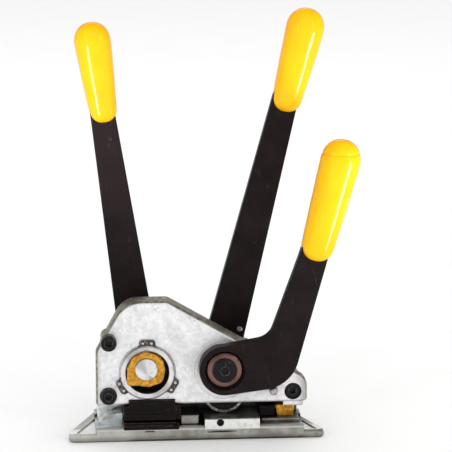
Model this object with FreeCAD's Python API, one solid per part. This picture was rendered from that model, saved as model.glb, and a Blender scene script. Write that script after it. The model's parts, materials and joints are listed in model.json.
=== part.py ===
import FreeCAD, Part
import math
import os

from FreeCAD import Vector

# Sealless combination strapping tool: base, gear housing, crimping punch and three hand levers.
# X runs along the strap, the open working side faces -Y, Z is up, all in millimetres.
# The origin is the centre of the underside of the base.

# ---- base ------------------------------------------------------------------------------------
BASE_FRONT_HALF = 106.2      # half length of the open front edge, to the sharp corners
BASE_REAR_HALF = 80.0        # half length of the rear edge, so the ends taper in plan
BASE_FRONT_Y = -30.0
BASE_REAR_Y = 28.0
RIM_TOP = 11.8               # raised rim round the base
FLOOR_TOP = 9.6              # machined floor that the strap slides in over
RIM_WIDTH = 4.6
END_LEFT, END_RIGHT = -81.0, 86.5    # outside these the base is lower and slopes up to the rear
END_FRONT_TOP = 6.4                  # rim height at the front of both ends
END_FLOOR_DROP = 1.3
LEFT_END_SLOPE, RIGHT_END_SLOPE = 0.05, 0.045
WALL_FRONT_Y = 2.0           # upright wall behind the strap channel, under the housing
WALL_LEFT = -79.0
WALL_RIGHT = 84.0

# ---- housing ---------------------------------------------------------------------------------
HOUSING_FRONT_Y = -26.0
FLANGE_REAR_Y = -18.0        # the front flange carries the full outline
CASE_REAR_Y = 6.0            # the gear case behind it is a little smaller all round
COVER_REAR_Y = 14.0
HOUSING_BOTTOM = 29.5
HOUSING_LEFT = -80.8
HOUSING_RIGHT = 89.3
HOUSING_TOP = 115.2
HOUSING_OUTLINE = [          # x, z and corner radius, going round
    (HOUSING_LEFT, HOUSING_BOTTOM, 1.5),
    (HOUSING_RIGHT, HOUSING_BOTTOM, 3.0),
    (HOUSING_RIGHT, 49.2, 12.0),
    (-23.4, HOUSING_TOP, 8.0),
    (-57.6, HOUSING_TOP, 24.0),
    (HOUSING_LEFT, 74.8, 8.0),
]
CASE_OUTLINE = [             # gear case behind the flange
    (-76.5, HOUSING_BOTTOM, 1.5),
    (86.0, HOUSING_BOTTOM, 3.0),
    (86.0, 47.4, 10.0),
    (-21.5, 110.3, 8.0),
    (-57.0, 110.3, 20.0),
    (-76.5, 74.6, 8.0),
]
CASE_WALL = 2.7
CORNER_LUG_RADIUS = 5.6              # round the upper left screw
FRONT_WALL = 8.0
CAVITY_FRONT_Y = HOUSING_FRONT_Y + FRONT_WALL

# ---- shaft axes, both along Y ------------------------------------------------------------------
SEAL_X, SEAL_Z = -39.7, 57.1         # crimping crank and left handle
PIVOT_X, PIVOT_Z = 21.7, 60.5        # release lever, ratchet and middle handle
CRANK_THROW = 4.2
CRANK_ANGLE = 105.0                  # direction of the crank pin at rest, from +X towards +Z
CRANK_X = SEAL_X + CRANK_THROW * math.cos(math.radians(CRANK_ANGLE))
CRANK_Z = SEAL_Z + CRANK_THROW * math.sin(math.radians(CRANK_ANGLE))

# ---- gears -------------------------------------------------------------------------------------
GEAR_MODULE = 1.5
PINION_TEETH = 14
DRIVEN_TEETH = 20
PRESSURE_ANGLE = 25.0
GEAR_BACKLASH = 0.30
GEAR_Y0, GEAR_Y1 = -2.5, 2.5
CENTRE_DISTANCE = GEAR_MODULE * (PINION_TEETH + DRIVEN_TEETH) / 2.0
WHEEL_X = 23.0
WHEEL_Z = PIVOT_Z - math.sqrt(CENTRE_DISTANCE ** 2 - (WHEEL_X - PIVOT_X) ** 2)
WHEEL_RADIUS = 17.2
WHEEL_TEETH = 60
WHEEL_Y0, WHEEL_Y1 = -13.0, -3.2
RATCHET_TEETH = 20
RATCHET_TIP = 17.0
RATCHET_ROOT = 14.4
RATCHET_Y0, RATCHET_Y1 = 15.0, 21.0
PAWL_GAP = 0.3

# ---- punch -------------------------------------------------------------------------------------
PUNCH_LEFT, PUNCH_RIGHT = -58.8, -16.6
PUNCH_FRONT_Y, PUNCH_REAR_Y = -28.0, -8.5
PUNCH_BOTTOM = 20.5
PUNCH_STEP = 29.0
LIP_FRONT_Y, LIP_BOTTOM, LIP_TOP = -29.6, 17.4, 23.6      # guard lip that passes in front of the die
DIE_REBATE_Y, DIE_REBATE_Z = -27.5, 12.6
NOTCH_LEFT, NOTCH_RIGHT, NOTCH_TOP = -54.4, -17.8, 33.7
DIE_RIGHT = -14.5
DIE_TOP = 15.0
CARRIER_LEFT, CARRIER_RIGHT = -63.7, -21.7
CARRIER_TOP = 87.0
CARRIER_Y0, CARRIER_Y1 = -17.5, -8.5
BLOCK_HALF = 13.0                    # sliding block is square, in the carrier's slot
SLOT_BELOW, SLOT_ABOVE = 0.6, 0.9    # play in the slot
RIDGE_PITCH = 12.0
RIDGE_COUNT = 3
SLIDE_GAP = 0.4

# ---- hand levers -------------------------------------------------------------------------------
LEVER_FRONT_Y, LEVER_REAR_Y = -41.0, -31.0
LEVER_SEAT_Y = -36.0
LEVER_HUB_RADIUS = 20.3
BAR_Y0, BAR_Y1 = 22.0, 30.0
SEAL_LEAN = 8.2                      # handle angles from upright; left handle leans to -X
SEAL_OFFSET = -3.0                   # centre line of the bar beside its pivot
TENSION_LEAN = -14.0                 # negative leans to +X
TENSION_OFFSET = 1.8
STOP_PIN_X, STOP_PIN_Z, STOP_PIN_RADIUS = 61.3, 41.9, 3.5

RUNNING_FIT = 0.05


# ---- building blocks -----------------------------------------------------------------------------
def box(x0, x1, y0, y1, z0, z1):
    return Part.makeBox(x1 - x0, y1 - y0, z1 - z0, Vector(x0, y0, z0))


def rod(x, z, radius, y0, y1):
    """Cylinder along Y."""
    return Part.makeCylinder(radius, y1 - y0, Vector(x, y0, z), Vector(0, 1, 0))


def post(x, y, radius, z0, z1):
    """Cylinder along Z."""
    return Part.makeCylinder(radius, z1 - z0, Vector(x, y, z0), Vector(0, 0, 1))


def ring(x, z, outer, inner, y0, y1):
    return rod(x, z, outer, y0, y1).cut(rod(x, z, inner, y0, y1))


def join(shapes):
    whole = shapes[0]
    for shape in shapes[1:]:
        whole = whole.fuse(shape)
    return whole.removeSplitter()


def cut_all(shape, tools):
    for tool in tools:
        shape = shape.cut(tool)
    return shape


def rounded_wire(corners, y=0.0):
    """Closed outline in the XZ plane from (x, z, radius) corners."""
    edges = []
    starts, ends, mids = [], [], []
    count = len(corners)
    for i, (x, z, radius) in enumerate(corners):
        here = Vector(x, y, z)
        before = Vector(corners[i - 1][0], y, corners[i - 1][1])
        after = Vector(corners[(i + 1) % count][0], y, corners[(i + 1) % count][1])
        to_before = (before - here).normalize()
        to_after = (after - here).normalize()
        if radius <= 0:
            starts.append(here)
            ends.append(here)
            mids.append(None)
            continue
        half = to_before.getAngle(to_after) / 2.0
        reach = radius / math.tan(half)
        middle = (to_before + to_after).normalize()
        starts.append(here + to_before * reach)
        ends.append(here + to_after * reach)
        mids.append(here + middle * (radius / math.sin(half) - radius))
    for i in range(count):
        if mids[i] is not None:
            edges.append(Part.Arc(starts[i], mids[i], ends[i]).toShape())
        following = (i + 1) % count
        if ends[i].distanceToPoint(starts[following]) > 1e-6:
            edges.append(Part.LineSegment(ends[i], starts[following]).toShape())
    return Part.Wire(edges)


def plate(corners, y0, y1):
    """Flat plate with a rounded outline, lying in XZ."""
    return Part.Face(rounded_wire(corners, y0)).extrude(Vector(0, y1 - y0, 0))


def edges_at_y(shape, y, tolerance=1e-3):
    chosen = []
    for edge in shape.Edges:
        bounds = edge.BoundBox
        if abs(bounds.YMin - y) < tolerance and abs(bounds.YMax - y) < tolerance:
            chosen.append(edge)
    return chosen


def fillet_if_possible(solid, radius, edges):
    """Fillet, tried again at smaller radii where the full one cannot be built."""
    for share in (1.0, 0.75, 0.5, 0.3):
        try:
            rounded = solid.makeFillet(radius * share, edges)
            if rounded.isValid() and rounded.Volume > 0:
                return rounded
        except Part.OCCError:
            pass
    return solid


def soften(shape, ys, radius):
    """Round the outline edges that lie in the planes y = ys; a plain shape if it can't be done."""
    edges = []
    for y in ys:
        edges.extend(edges_at_y(shape, y))
    try:
        rounded = shape.makeFillet(radius, edges)
    except Exception:
        return shape
    if rounded.isValid() and len(rounded.Solids) == 1:
        return rounded
    return shape


def turned(points, x, z):
    """Solid of revolution about a shaft axis, from (y, radius) points."""
    corners = [Vector(x, y, z + radius) for y, radius in points]
    outline = Part.makePolygon([Vector(x, points[0][0], z)] + corners
                               + [Vector(x, points[-1][0], z), Vector(x, points[0][0], z)])
    return Part.Face(outline).revolve(Vector(x, 0, z), Vector(0, 1, 0), 360)


def hexagon(x, z, across_flats, y0, y1, turn=0.0):
    radius = across_flats / math.sqrt(3.0)
    corners = []
    for i in range(6):
        angle = math.radians(60 * i + turn)
        corners.append((x + radius * math.cos(angle), z + radius * math.sin(angle), 0))
    return plate(corners, y0, y1)


def socket_screw(x, z, head_y, thread_end_y, thread_radius, head_radius, head_length, key):
    """Cap screw along Y with its head at the front."""
    chamfer = 0.7
    body = turned([(head_y, head_radius - chamfer), (head_y + chamfer, head_radius),
                   (head_y + head_length, head_radius), (head_y + head_length, thread_radius),
                   (thread_end_y, thread_radius)], x, z)
    recess = hexagon(x, z, key, head_y, head_y + head_length * 0.55, 30)
    return body.cut(recess)


def nut_with_bevel(x, z, across_flats, bore, y0, y1):
    """Hexagon nut, its corners turned off at the rear."""
    blank = hexagon(x, z, across_flats, y0, y1, 15)
    corner = across_flats / math.sqrt(3.0)
    envelope = turned([(y0, corner), (y1 - 1.4, corner), (y1, corner - 2.2)], x, z)
    return blank.common(envelope).cut(rod(x, z, bore, y0, y1))


def from_pivot(x, z, lean, along, across):
    """Point at a distance along a handle that leans by an angle towards -X, and beside it."""
    angle = math.radians(lean)
    return (x - along * math.sin(angle) + across * math.cos(angle),
            z + along * math.cos(angle) + across * math.sin(angle))


def involute_gear(teeth, x, z, y0, y1, turn):
    """Spur gear with involute flanks, thinned by the backlash."""
    pitch = GEAR_MODULE * teeth / 2.0
    base = pitch * math.cos(math.radians(PRESSURE_ANGLE))
    tip = pitch + 0.85 * GEAR_MODULE
    root = pitch - 1.2 * GEAR_MODULE
    pressure = math.radians(PRESSURE_ANGLE)
    pitch_half = math.pi / (2.0 * teeth) - GEAR_BACKLASH / (2.0 * pitch)
    involute_at_pitch = math.tan(pressure) - pressure
    start = max(base, root)
    steps = 4
    flank = []
    for i in range(steps + 1):
        radius = start + (tip - start) * i / steps
        pressure_here = math.acos(min(1.0, base / radius))
        half = pitch_half + involute_at_pitch - (math.tan(pressure_here) - pressure_here)
        flank.append((radius, half))
    points = []
    for tooth in range(teeth):
        centre = math.radians(turn) + 2.0 * math.pi * tooth / teeth
        outline = [(root, -flank[0][1])] + [(r, -h) for r, h in flank]
        outline += [(r, h) for r, h in reversed(flank)] + [(root, flank[0][1])]
        for radius, angle in outline:
            points.append(Vector(x + radius * math.cos(centre + angle), y0,
                                 z + radius * math.sin(centre + angle)))
    points.append(points[0])
    return Part.Face(Part.makePolygon(points)).extrude(Vector(0, y1 - y0, 0))


def toothed_disc(x, z, tip, root, teeth, y0, y1, skew=0.0, land=0.2):
    """Disc with saw or V teeth; skew 0.5 gives a symmetrical V, near 0 gives a saw tooth."""
    points = []
    step = 2.0 * math.pi / teeth
    for i in range(teeth):
        for radius, share in ((root, 0.0), (tip, skew), (tip, skew + land)):
            angle = step * (i + share)
            points.append(Vector(x + radius * math.cos(angle), y0, z + radius * math.sin(angle)))
    points.append(points[0])
    return Part.Face(Part.makePolygon(points)).extrude(Vector(0, y1 - y0, 0))


def coil_spring(x, y, z0, z1, mean_radius, wire_radius, turns):
    """Compression spring along Z, its ends ground flat."""
    height = z1 - z0
    helix = Part.makeHelix(height / turns, height, mean_radius)
    start = Vector(mean_radius, 0, 0)
    profile = Part.Wire(Part.makeCircle(wire_radius, start, Vector(0, 1, 0)))
    coil = Part.Wire(helix.Edges).makePipeShell([profile], True, True)
    coil.translate(Vector(x, y, z0))
    reach = mean_radius + 2.0 * wire_radius
    return coil.common(box(x - reach, x + reach, y - reach, y + reach, z0, z1))


# ---- base group ----------------------------------------------------------------------------------
def base_outline(inset=0.0):
    """Plan outline: long open front edge, ends tapering towards the rear."""
    return [(-BASE_FRONT_HALF + 1.9 * inset, BASE_FRONT_Y + inset),
            (BASE_FRONT_HALF - 1.9 * inset, BASE_FRONT_Y + inset),
            (BASE_REAR_HALF - 1.1 * inset, BASE_REAR_Y - inset),
            (-BASE_REAR_HALF + 1.1 * inset, BASE_REAR_Y - inset)]


def plan_prism(points, z0, z1):
    corners = [Vector(x, y, z0) for x, y in points]
    corners.append(corners[0])
    return Part.Face(Part.makePolygon(corners)).extrude(Vector(0, 0, z1 - z0))


BASE_SCREW_XS = (-60.0, -8.0, 40.0, 66.0)
BASE_SCREW_Y = 10.0
BASE_SCREW_RADIUS = 3.0
BASE_SCREW_TOP = 42.0
PAD_TOP = 13.4               # machined pad under the rear and bronze guides


def end_wedge(x0, x1, slope, drop):
    """Everything above the sloping top of one end of the base."""
    front_z = END_FRONT_TOP - 2 * slope - drop
    rear_z = END_FRONT_TOP + slope * (BASE_REAR_Y + 2 - BASE_FRONT_Y) - drop
    profile = [(BASE_FRONT_Y - 2, front_z), (BASE_REAR_Y + 2, rear_z),
               (BASE_REAR_Y + 2, 20.0), (BASE_FRONT_Y - 2, 20.0)]
    corners = [Vector(x0, y, z) for y, z in profile]
    corners.append(corners[0])
    return Part.Face(Part.makePolygon(corners)).extrude(Vector(x1 - x0, 0, 0))


def base_end(blank, x0, x1, slope):
    """One low end of the base, its upper outer edges rolled over."""
    block = blank.common(box(x0, x1, BASE_FRONT_Y - 2, BASE_REAR_Y + 2, 0.0, RIM_TOP + 4))
    block = block.cut(end_wedge(x0 - 1, x1 + 1, slope, 0.0))
    inner = x1 if x1 < 0 else x0
    rim = [e for e in block.Edges if e.BoundBox.ZMin > 4.0
           and abs(e.BoundBox.XMin - inner) + abs(e.BoundBox.XMax - inner) > 0.1
           and e.BoundBox.YMax < BASE_REAR_Y + 1]
    return fillet_if_possible(block, 3.2, rim)


def base_blank():
    blank = plan_prism(base_outline(), 0.0, RIM_TOP + 4)
    upright = [e for e in blank.Edges if e.BoundBox.ZMax - e.BoundBox.ZMin > RIM_TOP]
    blank = blank.makeFillet(5.5, upright)
    middle = blank.common(box(END_LEFT, END_RIGHT, BASE_FRONT_Y - 2, BASE_REAR_Y + 2, 0.0, RIM_TOP))
    front = [e for e in middle.Edges if e.BoundBox.ZMin > RIM_TOP - 1e-3
             and e.BoundBox.YMax < BASE_FRONT_Y + 1e-3]
    middle = middle.makeFillet(4.4, front)
    left = base_end(blank, -BASE_FRONT_HALF - 1, END_LEFT, LEFT_END_SLOPE)
    right = base_end(blank, END_RIGHT, BASE_FRONT_HALF + 1, RIGHT_END_SLOPE)
    whole = join([middle, left, right])
    bottom = [e for e in whole.Edges if e.BoundBox.ZMax < 1e-3]
    return fillet_if_possible(whole, 2.4, bottom)


def entry_ramp():
    """Rounded ramp that lifts the strap to the die from the left."""
    left, right, top = WALL_LEFT + 0.5, PUNCH_LEFT - 0.5, 19.0
    points = []
    for i in range(9):
        angle = math.radians(90.0 * i / 8)
        points.append(Vector(right - (right - left) * math.cos(angle), -12.0,
                             FLOOR_TOP + (top - FLOOR_TOP) * math.sin(angle)))
    arch = Part.BSplineCurve()
    arch.interpolate(points)
    foot = Vector(right, -12.0, FLOOR_TOP - 0.5)
    toe = Vector(left, -12.0, FLOOR_TOP - 0.5)
    edges = [arch.toShape(), Part.LineSegment(points[-1], foot).toShape(),
             Part.LineSegment(foot, toe).toShape(), Part.LineSegment(toe, points[0]).toShape()]
    return Part.Face(Part.Wire(edges)).extrude(Vector(0, WALL_FRONT_Y + 12.5, 0))


def base_plate():
    blank = base_blank()
    floor = plan_prism(base_outline(RIM_WIDTH), 0.0, RIM_TOP + 1)
    middle_floor = floor.common(box(END_LEFT, END_RIGHT, BASE_FRONT_Y, BASE_REAR_Y, FLOOR_TOP, RIM_TOP + 1))
    tools = [middle_floor]
    for x0, x1, slope in ((-BASE_FRONT_HALF, END_LEFT, LEFT_END_SLOPE),
                          (END_RIGHT, BASE_FRONT_HALF, RIGHT_END_SLOPE)):
        tools.append(floor.common(end_wedge(x0, x1, slope, END_FLOOR_DROP)))
    tools.append(box(PUNCH_LEFT, DIE_RIGHT, BASE_FRONT_Y - 1, BASE_FRONT_Y + 8, FLOOR_TOP, RIM_TOP + 1))
    tools.append(box(6.4, 50.8, BASE_FRONT_Y - 1, BASE_FRONT_Y + 8, 9.0, RIM_TOP + 1))
    tools.append(box(6.4, 50.8, BASE_FRONT_Y, -0.5, 9.0, RIM_TOP + 1))
    # short relief under the die and a long shallow one under the gripper plate
    tools.append(post(-38.0, BASE_FRONT_Y - 5.0, 6.8, 7.8, 9.0))
    tools.append(post(19.9, BASE_FRONT_Y - 32.4, 34.8, 6.4, 8.0))
    base = cut_all(blank, tools)
    wall = box(WALL_LEFT, WALL_RIGHT, WALL_FRONT_Y, COVER_REAR_Y, FLOOR_TOP - 0.5, HOUSING_BOTTOM)
    wall_ends = [e for e in wall.Edges if abs(e.BoundBox.YMin - WALL_FRONT_Y) < 1e-3
                 and e.BoundBox.YMax < WALL_FRONT_Y + 1e-3 and e.BoundBox.ZLength > 5]
    wall = wall.makeFillet(3.0, wall_ends)
    # arched scoops milled into the wall at both ends of the channel
    for x in (-54.0, 72.0):
        wall = wall.cut(rod(x, 2.0, 21.0, WALL_FRONT_Y - 0.1, WALL_FRONT_Y + 4.0))
    # room behind the wall face for the driven gear and the carrier's rear cheek
    wall = wall.cut(box(1.0, 53.0, WALL_FRONT_Y - 0.1, CASE_REAR_Y + 0.2, 16.5, HOUSING_BOTTOM + 1))
    pad = box(53.5, WALL_RIGHT, -16.5, WALL_FRONT_Y + 0.5, FLOOR_TOP - 0.5, PAD_TOP)
    pad = fillet_if_possible(pad, 1.6, [e for e in pad.Edges if e.BoundBox.YMax < -16.4
                                        and e.BoundBox.ZMin > PAD_TOP - 1e-3])
    base = join([base, wall, pad, entry_ramp()])
    for x in BASE_SCREW_XS:
        base = base.cut(post(x, BASE_SCREW_Y, BASE_SCREW_RADIUS, -1, HOUSING_BOTTOM + 1))
        base = base.cut(post(x, BASE_SCREW_Y, 5.5, -1, 7.0))
    return base


def base_screws():
    screws = []
    for x in BASE_SCREW_XS:
        head = post(x, BASE_SCREW_Y, 5.0, 1.5, 7.0)
        head = head.cut(post(x, BASE_SCREW_Y, 2.6, 1.5, 4.5))
        shank = post(x, BASE_SCREW_Y, BASE_SCREW_RADIUS, 7.0, BASE_SCREW_TOP)
        screws.append(join([head, shank]))
    return Part.makeCompound(screws)


def die_block():
    """Lower crimping die with grooves across it, and a stop behind the strap."""
    strip = box(PUNCH_LEFT, DIE_RIGHT, -29.4, -5.0, FLOOR_TOP, DIE_TOP)
    stop = box(PUNCH_LEFT, DIE_RIGHT, -5.0, WALL_FRONT_Y, FLOOR_TOP, 28.0)
    die = join([strip, stop])
    # rebate for the guard lip, and a corner cleared for the shear blade
    die = die.cut(box(PUNCH_LEFT - 1, PUNCH_RIGHT + 0.5, -30.0, DIE_REBATE_Y, DIE_REBATE_Z, DIE_TOP + 1))
    die = die.cut(box(PUNCH_RIGHT - 0.4, DIE_RIGHT + 1, DIE_REBATE_Y, -8.0, DIE_REBATE_Z, DIE_TOP + 1))
    middle = (PUNCH_LEFT + PUNCH_RIGHT) / 2.0
    for i in range(RIDGE_COUNT):
        x = middle + (i - (RIDGE_COUNT - 1) / 2.0) * RIDGE_PITCH
        die = die.cut(box(x - 2.4, x + 2.4, -26.0, -5.5, DIE_TOP - 2.5, DIE_TOP + 1))
    return die


GRIPPER_LEFT, GRIPPER_RIGHT, GRIPPER_TOP = 6.4, 50.8, 17.6
GRIPPER_FRONT_Y, GRIPPER_REAR_Y = -29.7, -0.5
GRIPPER_HOLE_X, GRIPPER_HOLE_Z, GRIPPER_HOLE_RADIUS = 18.9, 14.4, 3.0


def gripper_plate():
    """Hardened plate under the feed wheel; fine teeth across its top hold the strap."""
    profile = [(GRIPPER_FRONT_Y, 9.0), (GRIPPER_REAR_Y, 9.0), (GRIPPER_REAR_Y, GRIPPER_TOP),
               (GRIPPER_FRONT_Y + 1.2, GRIPPER_TOP), (GRIPPER_FRONT_Y, GRIPPER_TOP - 0.5)]
    corners = [Vector(GRIPPER_LEFT, y, z) for y, z in profile]
    corners.append(corners[0])
    solid = Part.Face(Part.makePolygon(corners)).extrude(Vector(GRIPPER_RIGHT - GRIPPER_LEFT, 0, 0))
    solid = solid.cut(rod(GRIPPER_HOLE_X, GRIPPER_HOLE_Z, GRIPPER_HOLE_RADIUS,
                          GRIPPER_FRONT_Y - 1, GRIPPER_FRONT_Y + 14))
    pitch = 1.5
    for i in range(14):
        x = WHEEL_X - 10.0 + i * pitch
        groove = Part.makePolygon([Vector(x, -14, GRIPPER_TOP + 0.1),
                                   Vector(x + 0.9, -14, GRIPPER_TOP + 0.1),
                                   Vector(x + 0.45, -14, GRIPPER_TOP - 0.45),
                                   Vector(x, -14, GRIPPER_TOP + 0.1)])
        solid = solid.cut(Part.Face(groove).extrude(Vector(0, 12, 0)))
    return solid


def gripper_pin():
    return rod(GRIPPER_HOLE_X, GRIPPER_HOLE_Z, GRIPPER_HOLE_RADIUS,
               GRIPPER_FRONT_Y + 3.5, GRIPPER_FRONT_Y + 14)


def shear_block():
    """Lower cutter, just right of the die."""
    block = box(-12.9, 2.2, -23.0, WALL_FRONT_Y, FLOOR_TOP, 19.4)
    return block.makeFillet(1.2, [e for e in block.Edges if e.BoundBox.YMax < -22.9])


def rear_guide():
    block = box(51.4, 64.4, -13.0, WALL_FRONT_Y, PAD_TOP, 23.8)
    return block.makeFillet(1.5, [e for e in block.Edges if e.BoundBox.YMax < -12.9])


def bronze_guide():
    """Wedge-sided bronze guide that leads the strap in from the right."""
    corners = [(67.0, PAD_TOP, 0), (79.4, PAD_TOP, 0), (80.6, 22.6, 1.0), (65.0, 22.6, 1.0)]
    return plate(corners, -10.0, WALL_FRONT_Y)


# ---- housing group -------------------------------------------------------------------------------
SCREW_SEATS = [              # x, z, y of the head's face and of the screw's tip
    (-70.8, 83.0, -34.0, -7.0),
    (-71.0, 37.7, -30.6, 12.5),
    (77.8, 38.5, -24.5, 12.5),
]
CORNER_LUG_REAR_Y = -6.0
SCREW_HEAD_RADIUS = 6.5
SCREW_HEAD_LENGTH = 8.0
SCREW_THREAD_RADIUS = 4.0
WINDOW_RADIUS = 19.0
WINDOW_BORE = 17.4
WINDOW_RING_RADIUS = 21.4
LUG_ANGLES = (90.0, -30.0, 210.0)
HUB_RING_X, HUB_RING_Z = 21.9, 57.4
HUB_RING_RADIUS = 23.4
HUB_RING_SEAT = 20.4
SLEEVE_RADIUS = 15.0


def case_solid(inset, y0, y1):
    """The gear case's outline drawn in by an inset, but kept down to the housing's bottom."""
    wire = rounded_wire(CASE_OUTLINE, y0)
    if inset > 0:
        wire = wire.makeOffset2D(-inset)
    body = Part.Face(wire).extrude(Vector(0, y1 - y0, 0))
    left, right = CASE_OUTLINE[0][0], CASE_OUTLINE[1][0]
    foot = box(left + inset, right - inset, y0, y1, HOUSING_BOTTOM, HOUSING_BOTTOM + inset + 6.0)
    return join([body, foot])


def corner_lug(y0, y1):
    x, z, _, _ = SCREW_SEATS[0]
    return rod(x, z, CORNER_LUG_RADIUS, y0, y1)


def housing():
    flange = plate(HOUSING_OUTLINE, HOUSING_FRONT_Y, FLANGE_REAR_Y)
    flange = soften(flange, [HOUSING_FRONT_Y], 3.0)
    case = join([case_solid(0.0, FLANGE_REAR_Y - 0.5, CASE_REAR_Y),
                 corner_lug(FLANGE_REAR_Y - 0.5, CORNER_LUG_REAR_Y)])
    boss = box(70.0, 86.0, HOUSING_FRONT_Y + 2.5, -12.0, 25.4, HOUSING_BOTTOM + 3)
    boss = boss.makeFillet(2.0, [e for e in boss.Edges if e.BoundBox.ZLength < 1e-3
                                 and e.BoundBox.ZMin < 26])
    solid = join([flange, case, boss])
    punch_room = box(CARRIER_LEFT - SLIDE_GAP, CARRIER_RIGHT + SLIDE_GAP, CAVITY_FRONT_Y,
                     CASE_REAR_Y + 1, HOUSING_BOTTOM - 6, 92.0)
    gear_room = case_solid(CASE_WALL, CAVITY_FRONT_Y, CASE_REAR_Y + 1)
    gear_room = join([gear_room, box(-12.0, 66.0, CAVITY_FRONT_Y, CASE_REAR_Y + 1,
                                     HOUSING_BOTTOM - 6, HOUSING_BOTTOM + 12)])
    gear_room = gear_room.common(box(-12.0, 66.0, CAVITY_FRONT_Y, CASE_REAR_Y + 1,
                                     HOUSING_BOTTOM - 6, 105.0))
    notch = box(NOTCH_LEFT - SLIDE_GAP, NOTCH_RIGHT + SLIDE_GAP, HOUSING_FRONT_Y - 1,
                PUNCH_REAR_Y + SLIDE_GAP, HOUSING_BOTTOM - 1, NOTCH_TOP + 0.5)
    tools = [punch_room, gear_room, notch]
    tools.append(rod(SEAL_X, SEAL_Z, WINDOW_RADIUS, HOUSING_FRONT_Y - 1, CAVITY_FRONT_Y + 1))
    tools.append(ring(SEAL_X, SEAL_Z, 22.8, WINDOW_RING_RADIUS, HOUSING_FRONT_Y - 1,
                      HOUSING_FRONT_Y + 0.6))
    tools.append(rod(HUB_RING_X, HUB_RING_Z, HUB_RING_SEAT, HOUSING_FRONT_Y - 1, CAVITY_FRONT_Y + 1))
    tools.append(rod(STOP_PIN_X, STOP_PIN_Z, STOP_PIN_RADIUS, HOUSING_FRONT_Y - 1, CAVITY_FRONT_Y))
    for x, z, head_y, tip_y in SCREW_SEATS:
        tools.append(rod(x, z, SCREW_THREAD_RADIUS, HOUSING_FRONT_Y - 1, min(tip_y, CASE_REAR_Y) + 0.5))
        seat_y = head_y + SCREW_HEAD_LENGTH
        if seat_y > HOUSING_FRONT_Y:
            tools.append(rod(x, z, SCREW_HEAD_RADIUS + 0.4, HOUSING_FRONT_Y - 1, seat_y))
    return cut_all(solid, tools)


def housing_screws():
    screws = []
    for x, z, head_y, tip_y in SCREW_SEATS:
        screws.append(socket_screw(x, z, head_y, tip_y, SCREW_THREAD_RADIUS,
                                   SCREW_HEAD_RADIUS, SCREW_HEAD_LENGTH, 6.0))
    return Part.makeCompound(screws)


def lug_dowel_places():
    places = []
    for angle in LUG_ANGLES:
        for side in (-1, 1):
            direction = math.radians(angle + side * 8.0)
            places.append((SEAL_X + 24.2 * math.cos(direction), SEAL_Z + 24.2 * math.sin(direction)))
    return places


def window_ring():
    """Ring that lines the crank window, held by three lugs."""
    parts = [rod(SEAL_X, SEAL_Z, WINDOW_RING_RADIUS, -29.0, HOUSING_FRONT_Y)]
    for angle in LUG_ANGLES:
        lug = box(-6.4, 6.4, -28.0, HOUSING_FRONT_Y, 15.0, 26.6)
        lug = lug.makeFillet(2.6, [e for e in lug.Edges if abs(e.BoundBox.ZMin - 26.6) < 1e-3
                                   and abs(e.BoundBox.YLength) > 1])
        lug.rotate(Vector(0, 0, 0), Vector(0, 1, 0), 90.0 - angle)
        lug.translate(Vector(SEAL_X, 0, SEAL_Z))
        parts.append(lug)
    parts.append(rod(SEAL_X, SEAL_Z, WINDOW_RADIUS, HOUSING_FRONT_Y, CAVITY_FRONT_Y))
    solid = join(parts).cut(rod(SEAL_X, SEAL_Z, WINDOW_BORE, -30.0, CAVITY_FRONT_Y + 1))
    for x, z in lug_dowel_places():
        solid = solid.cut(rod(x, z, 1.3, -29.0, HOUSING_FRONT_Y + 1))
    return soften(solid, [-29.0], 0.6)


def ring_dowels():
    dowels = []
    for x, z in lug_dowel_places():
        dowels.append(turned([(-28.3, 0.6), (-27.8, 1.3), (HOUSING_FRONT_Y, 1.3)], x, z))
    return Part.makeCompound(dowels)


def hub_ring():
    """Eccentric bush in the front wall that the release lever turns in."""
    disc = rod(HUB_RING_X, HUB_RING_Z, HUB_RING_RADIUS, -28.4, HOUSING_FRONT_Y)
    disc = soften(disc, [-28.4], 0.7)
    seat = rod(HUB_RING_X, HUB_RING_Z, HUB_RING_SEAT, HOUSING_FRONT_Y, CAVITY_FRONT_Y)
    return join([disc, seat]).cut(rod(PIVOT_X, PIVOT_Z, SLEEVE_RADIUS + RUNNING_FIT, -30, -17))


def stop_pin():
    return turned([(-39.6, 1.2), (-39.2, 2.3), (-38.2, 3.2), (-37.0, STOP_PIN_RADIUS),
                   (CAVITY_FRONT_Y - 1, STOP_PIN_RADIUS)], STOP_PIN_X, STOP_PIN_Z)


SEAL_BUSH_OUTER = 14.0
SEAL_JOURNAL = 11.0
PIVOT_BUSH_OUTER = 12.0
PIVOT_JOURNAL = 8.0
HOLD_PAWL_ANGLE = 105.0              # lean of the line from the pivot to the holding pawl
PAWL_REACH = 30.0
PAWL_PIN_RADIUS = 3.0
HOLD_PAWL_X, HOLD_PAWL_Z = from_pivot(PIVOT_X, PIVOT_Z, HOLD_PAWL_ANGLE, PAWL_REACH, 0.0)


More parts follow.
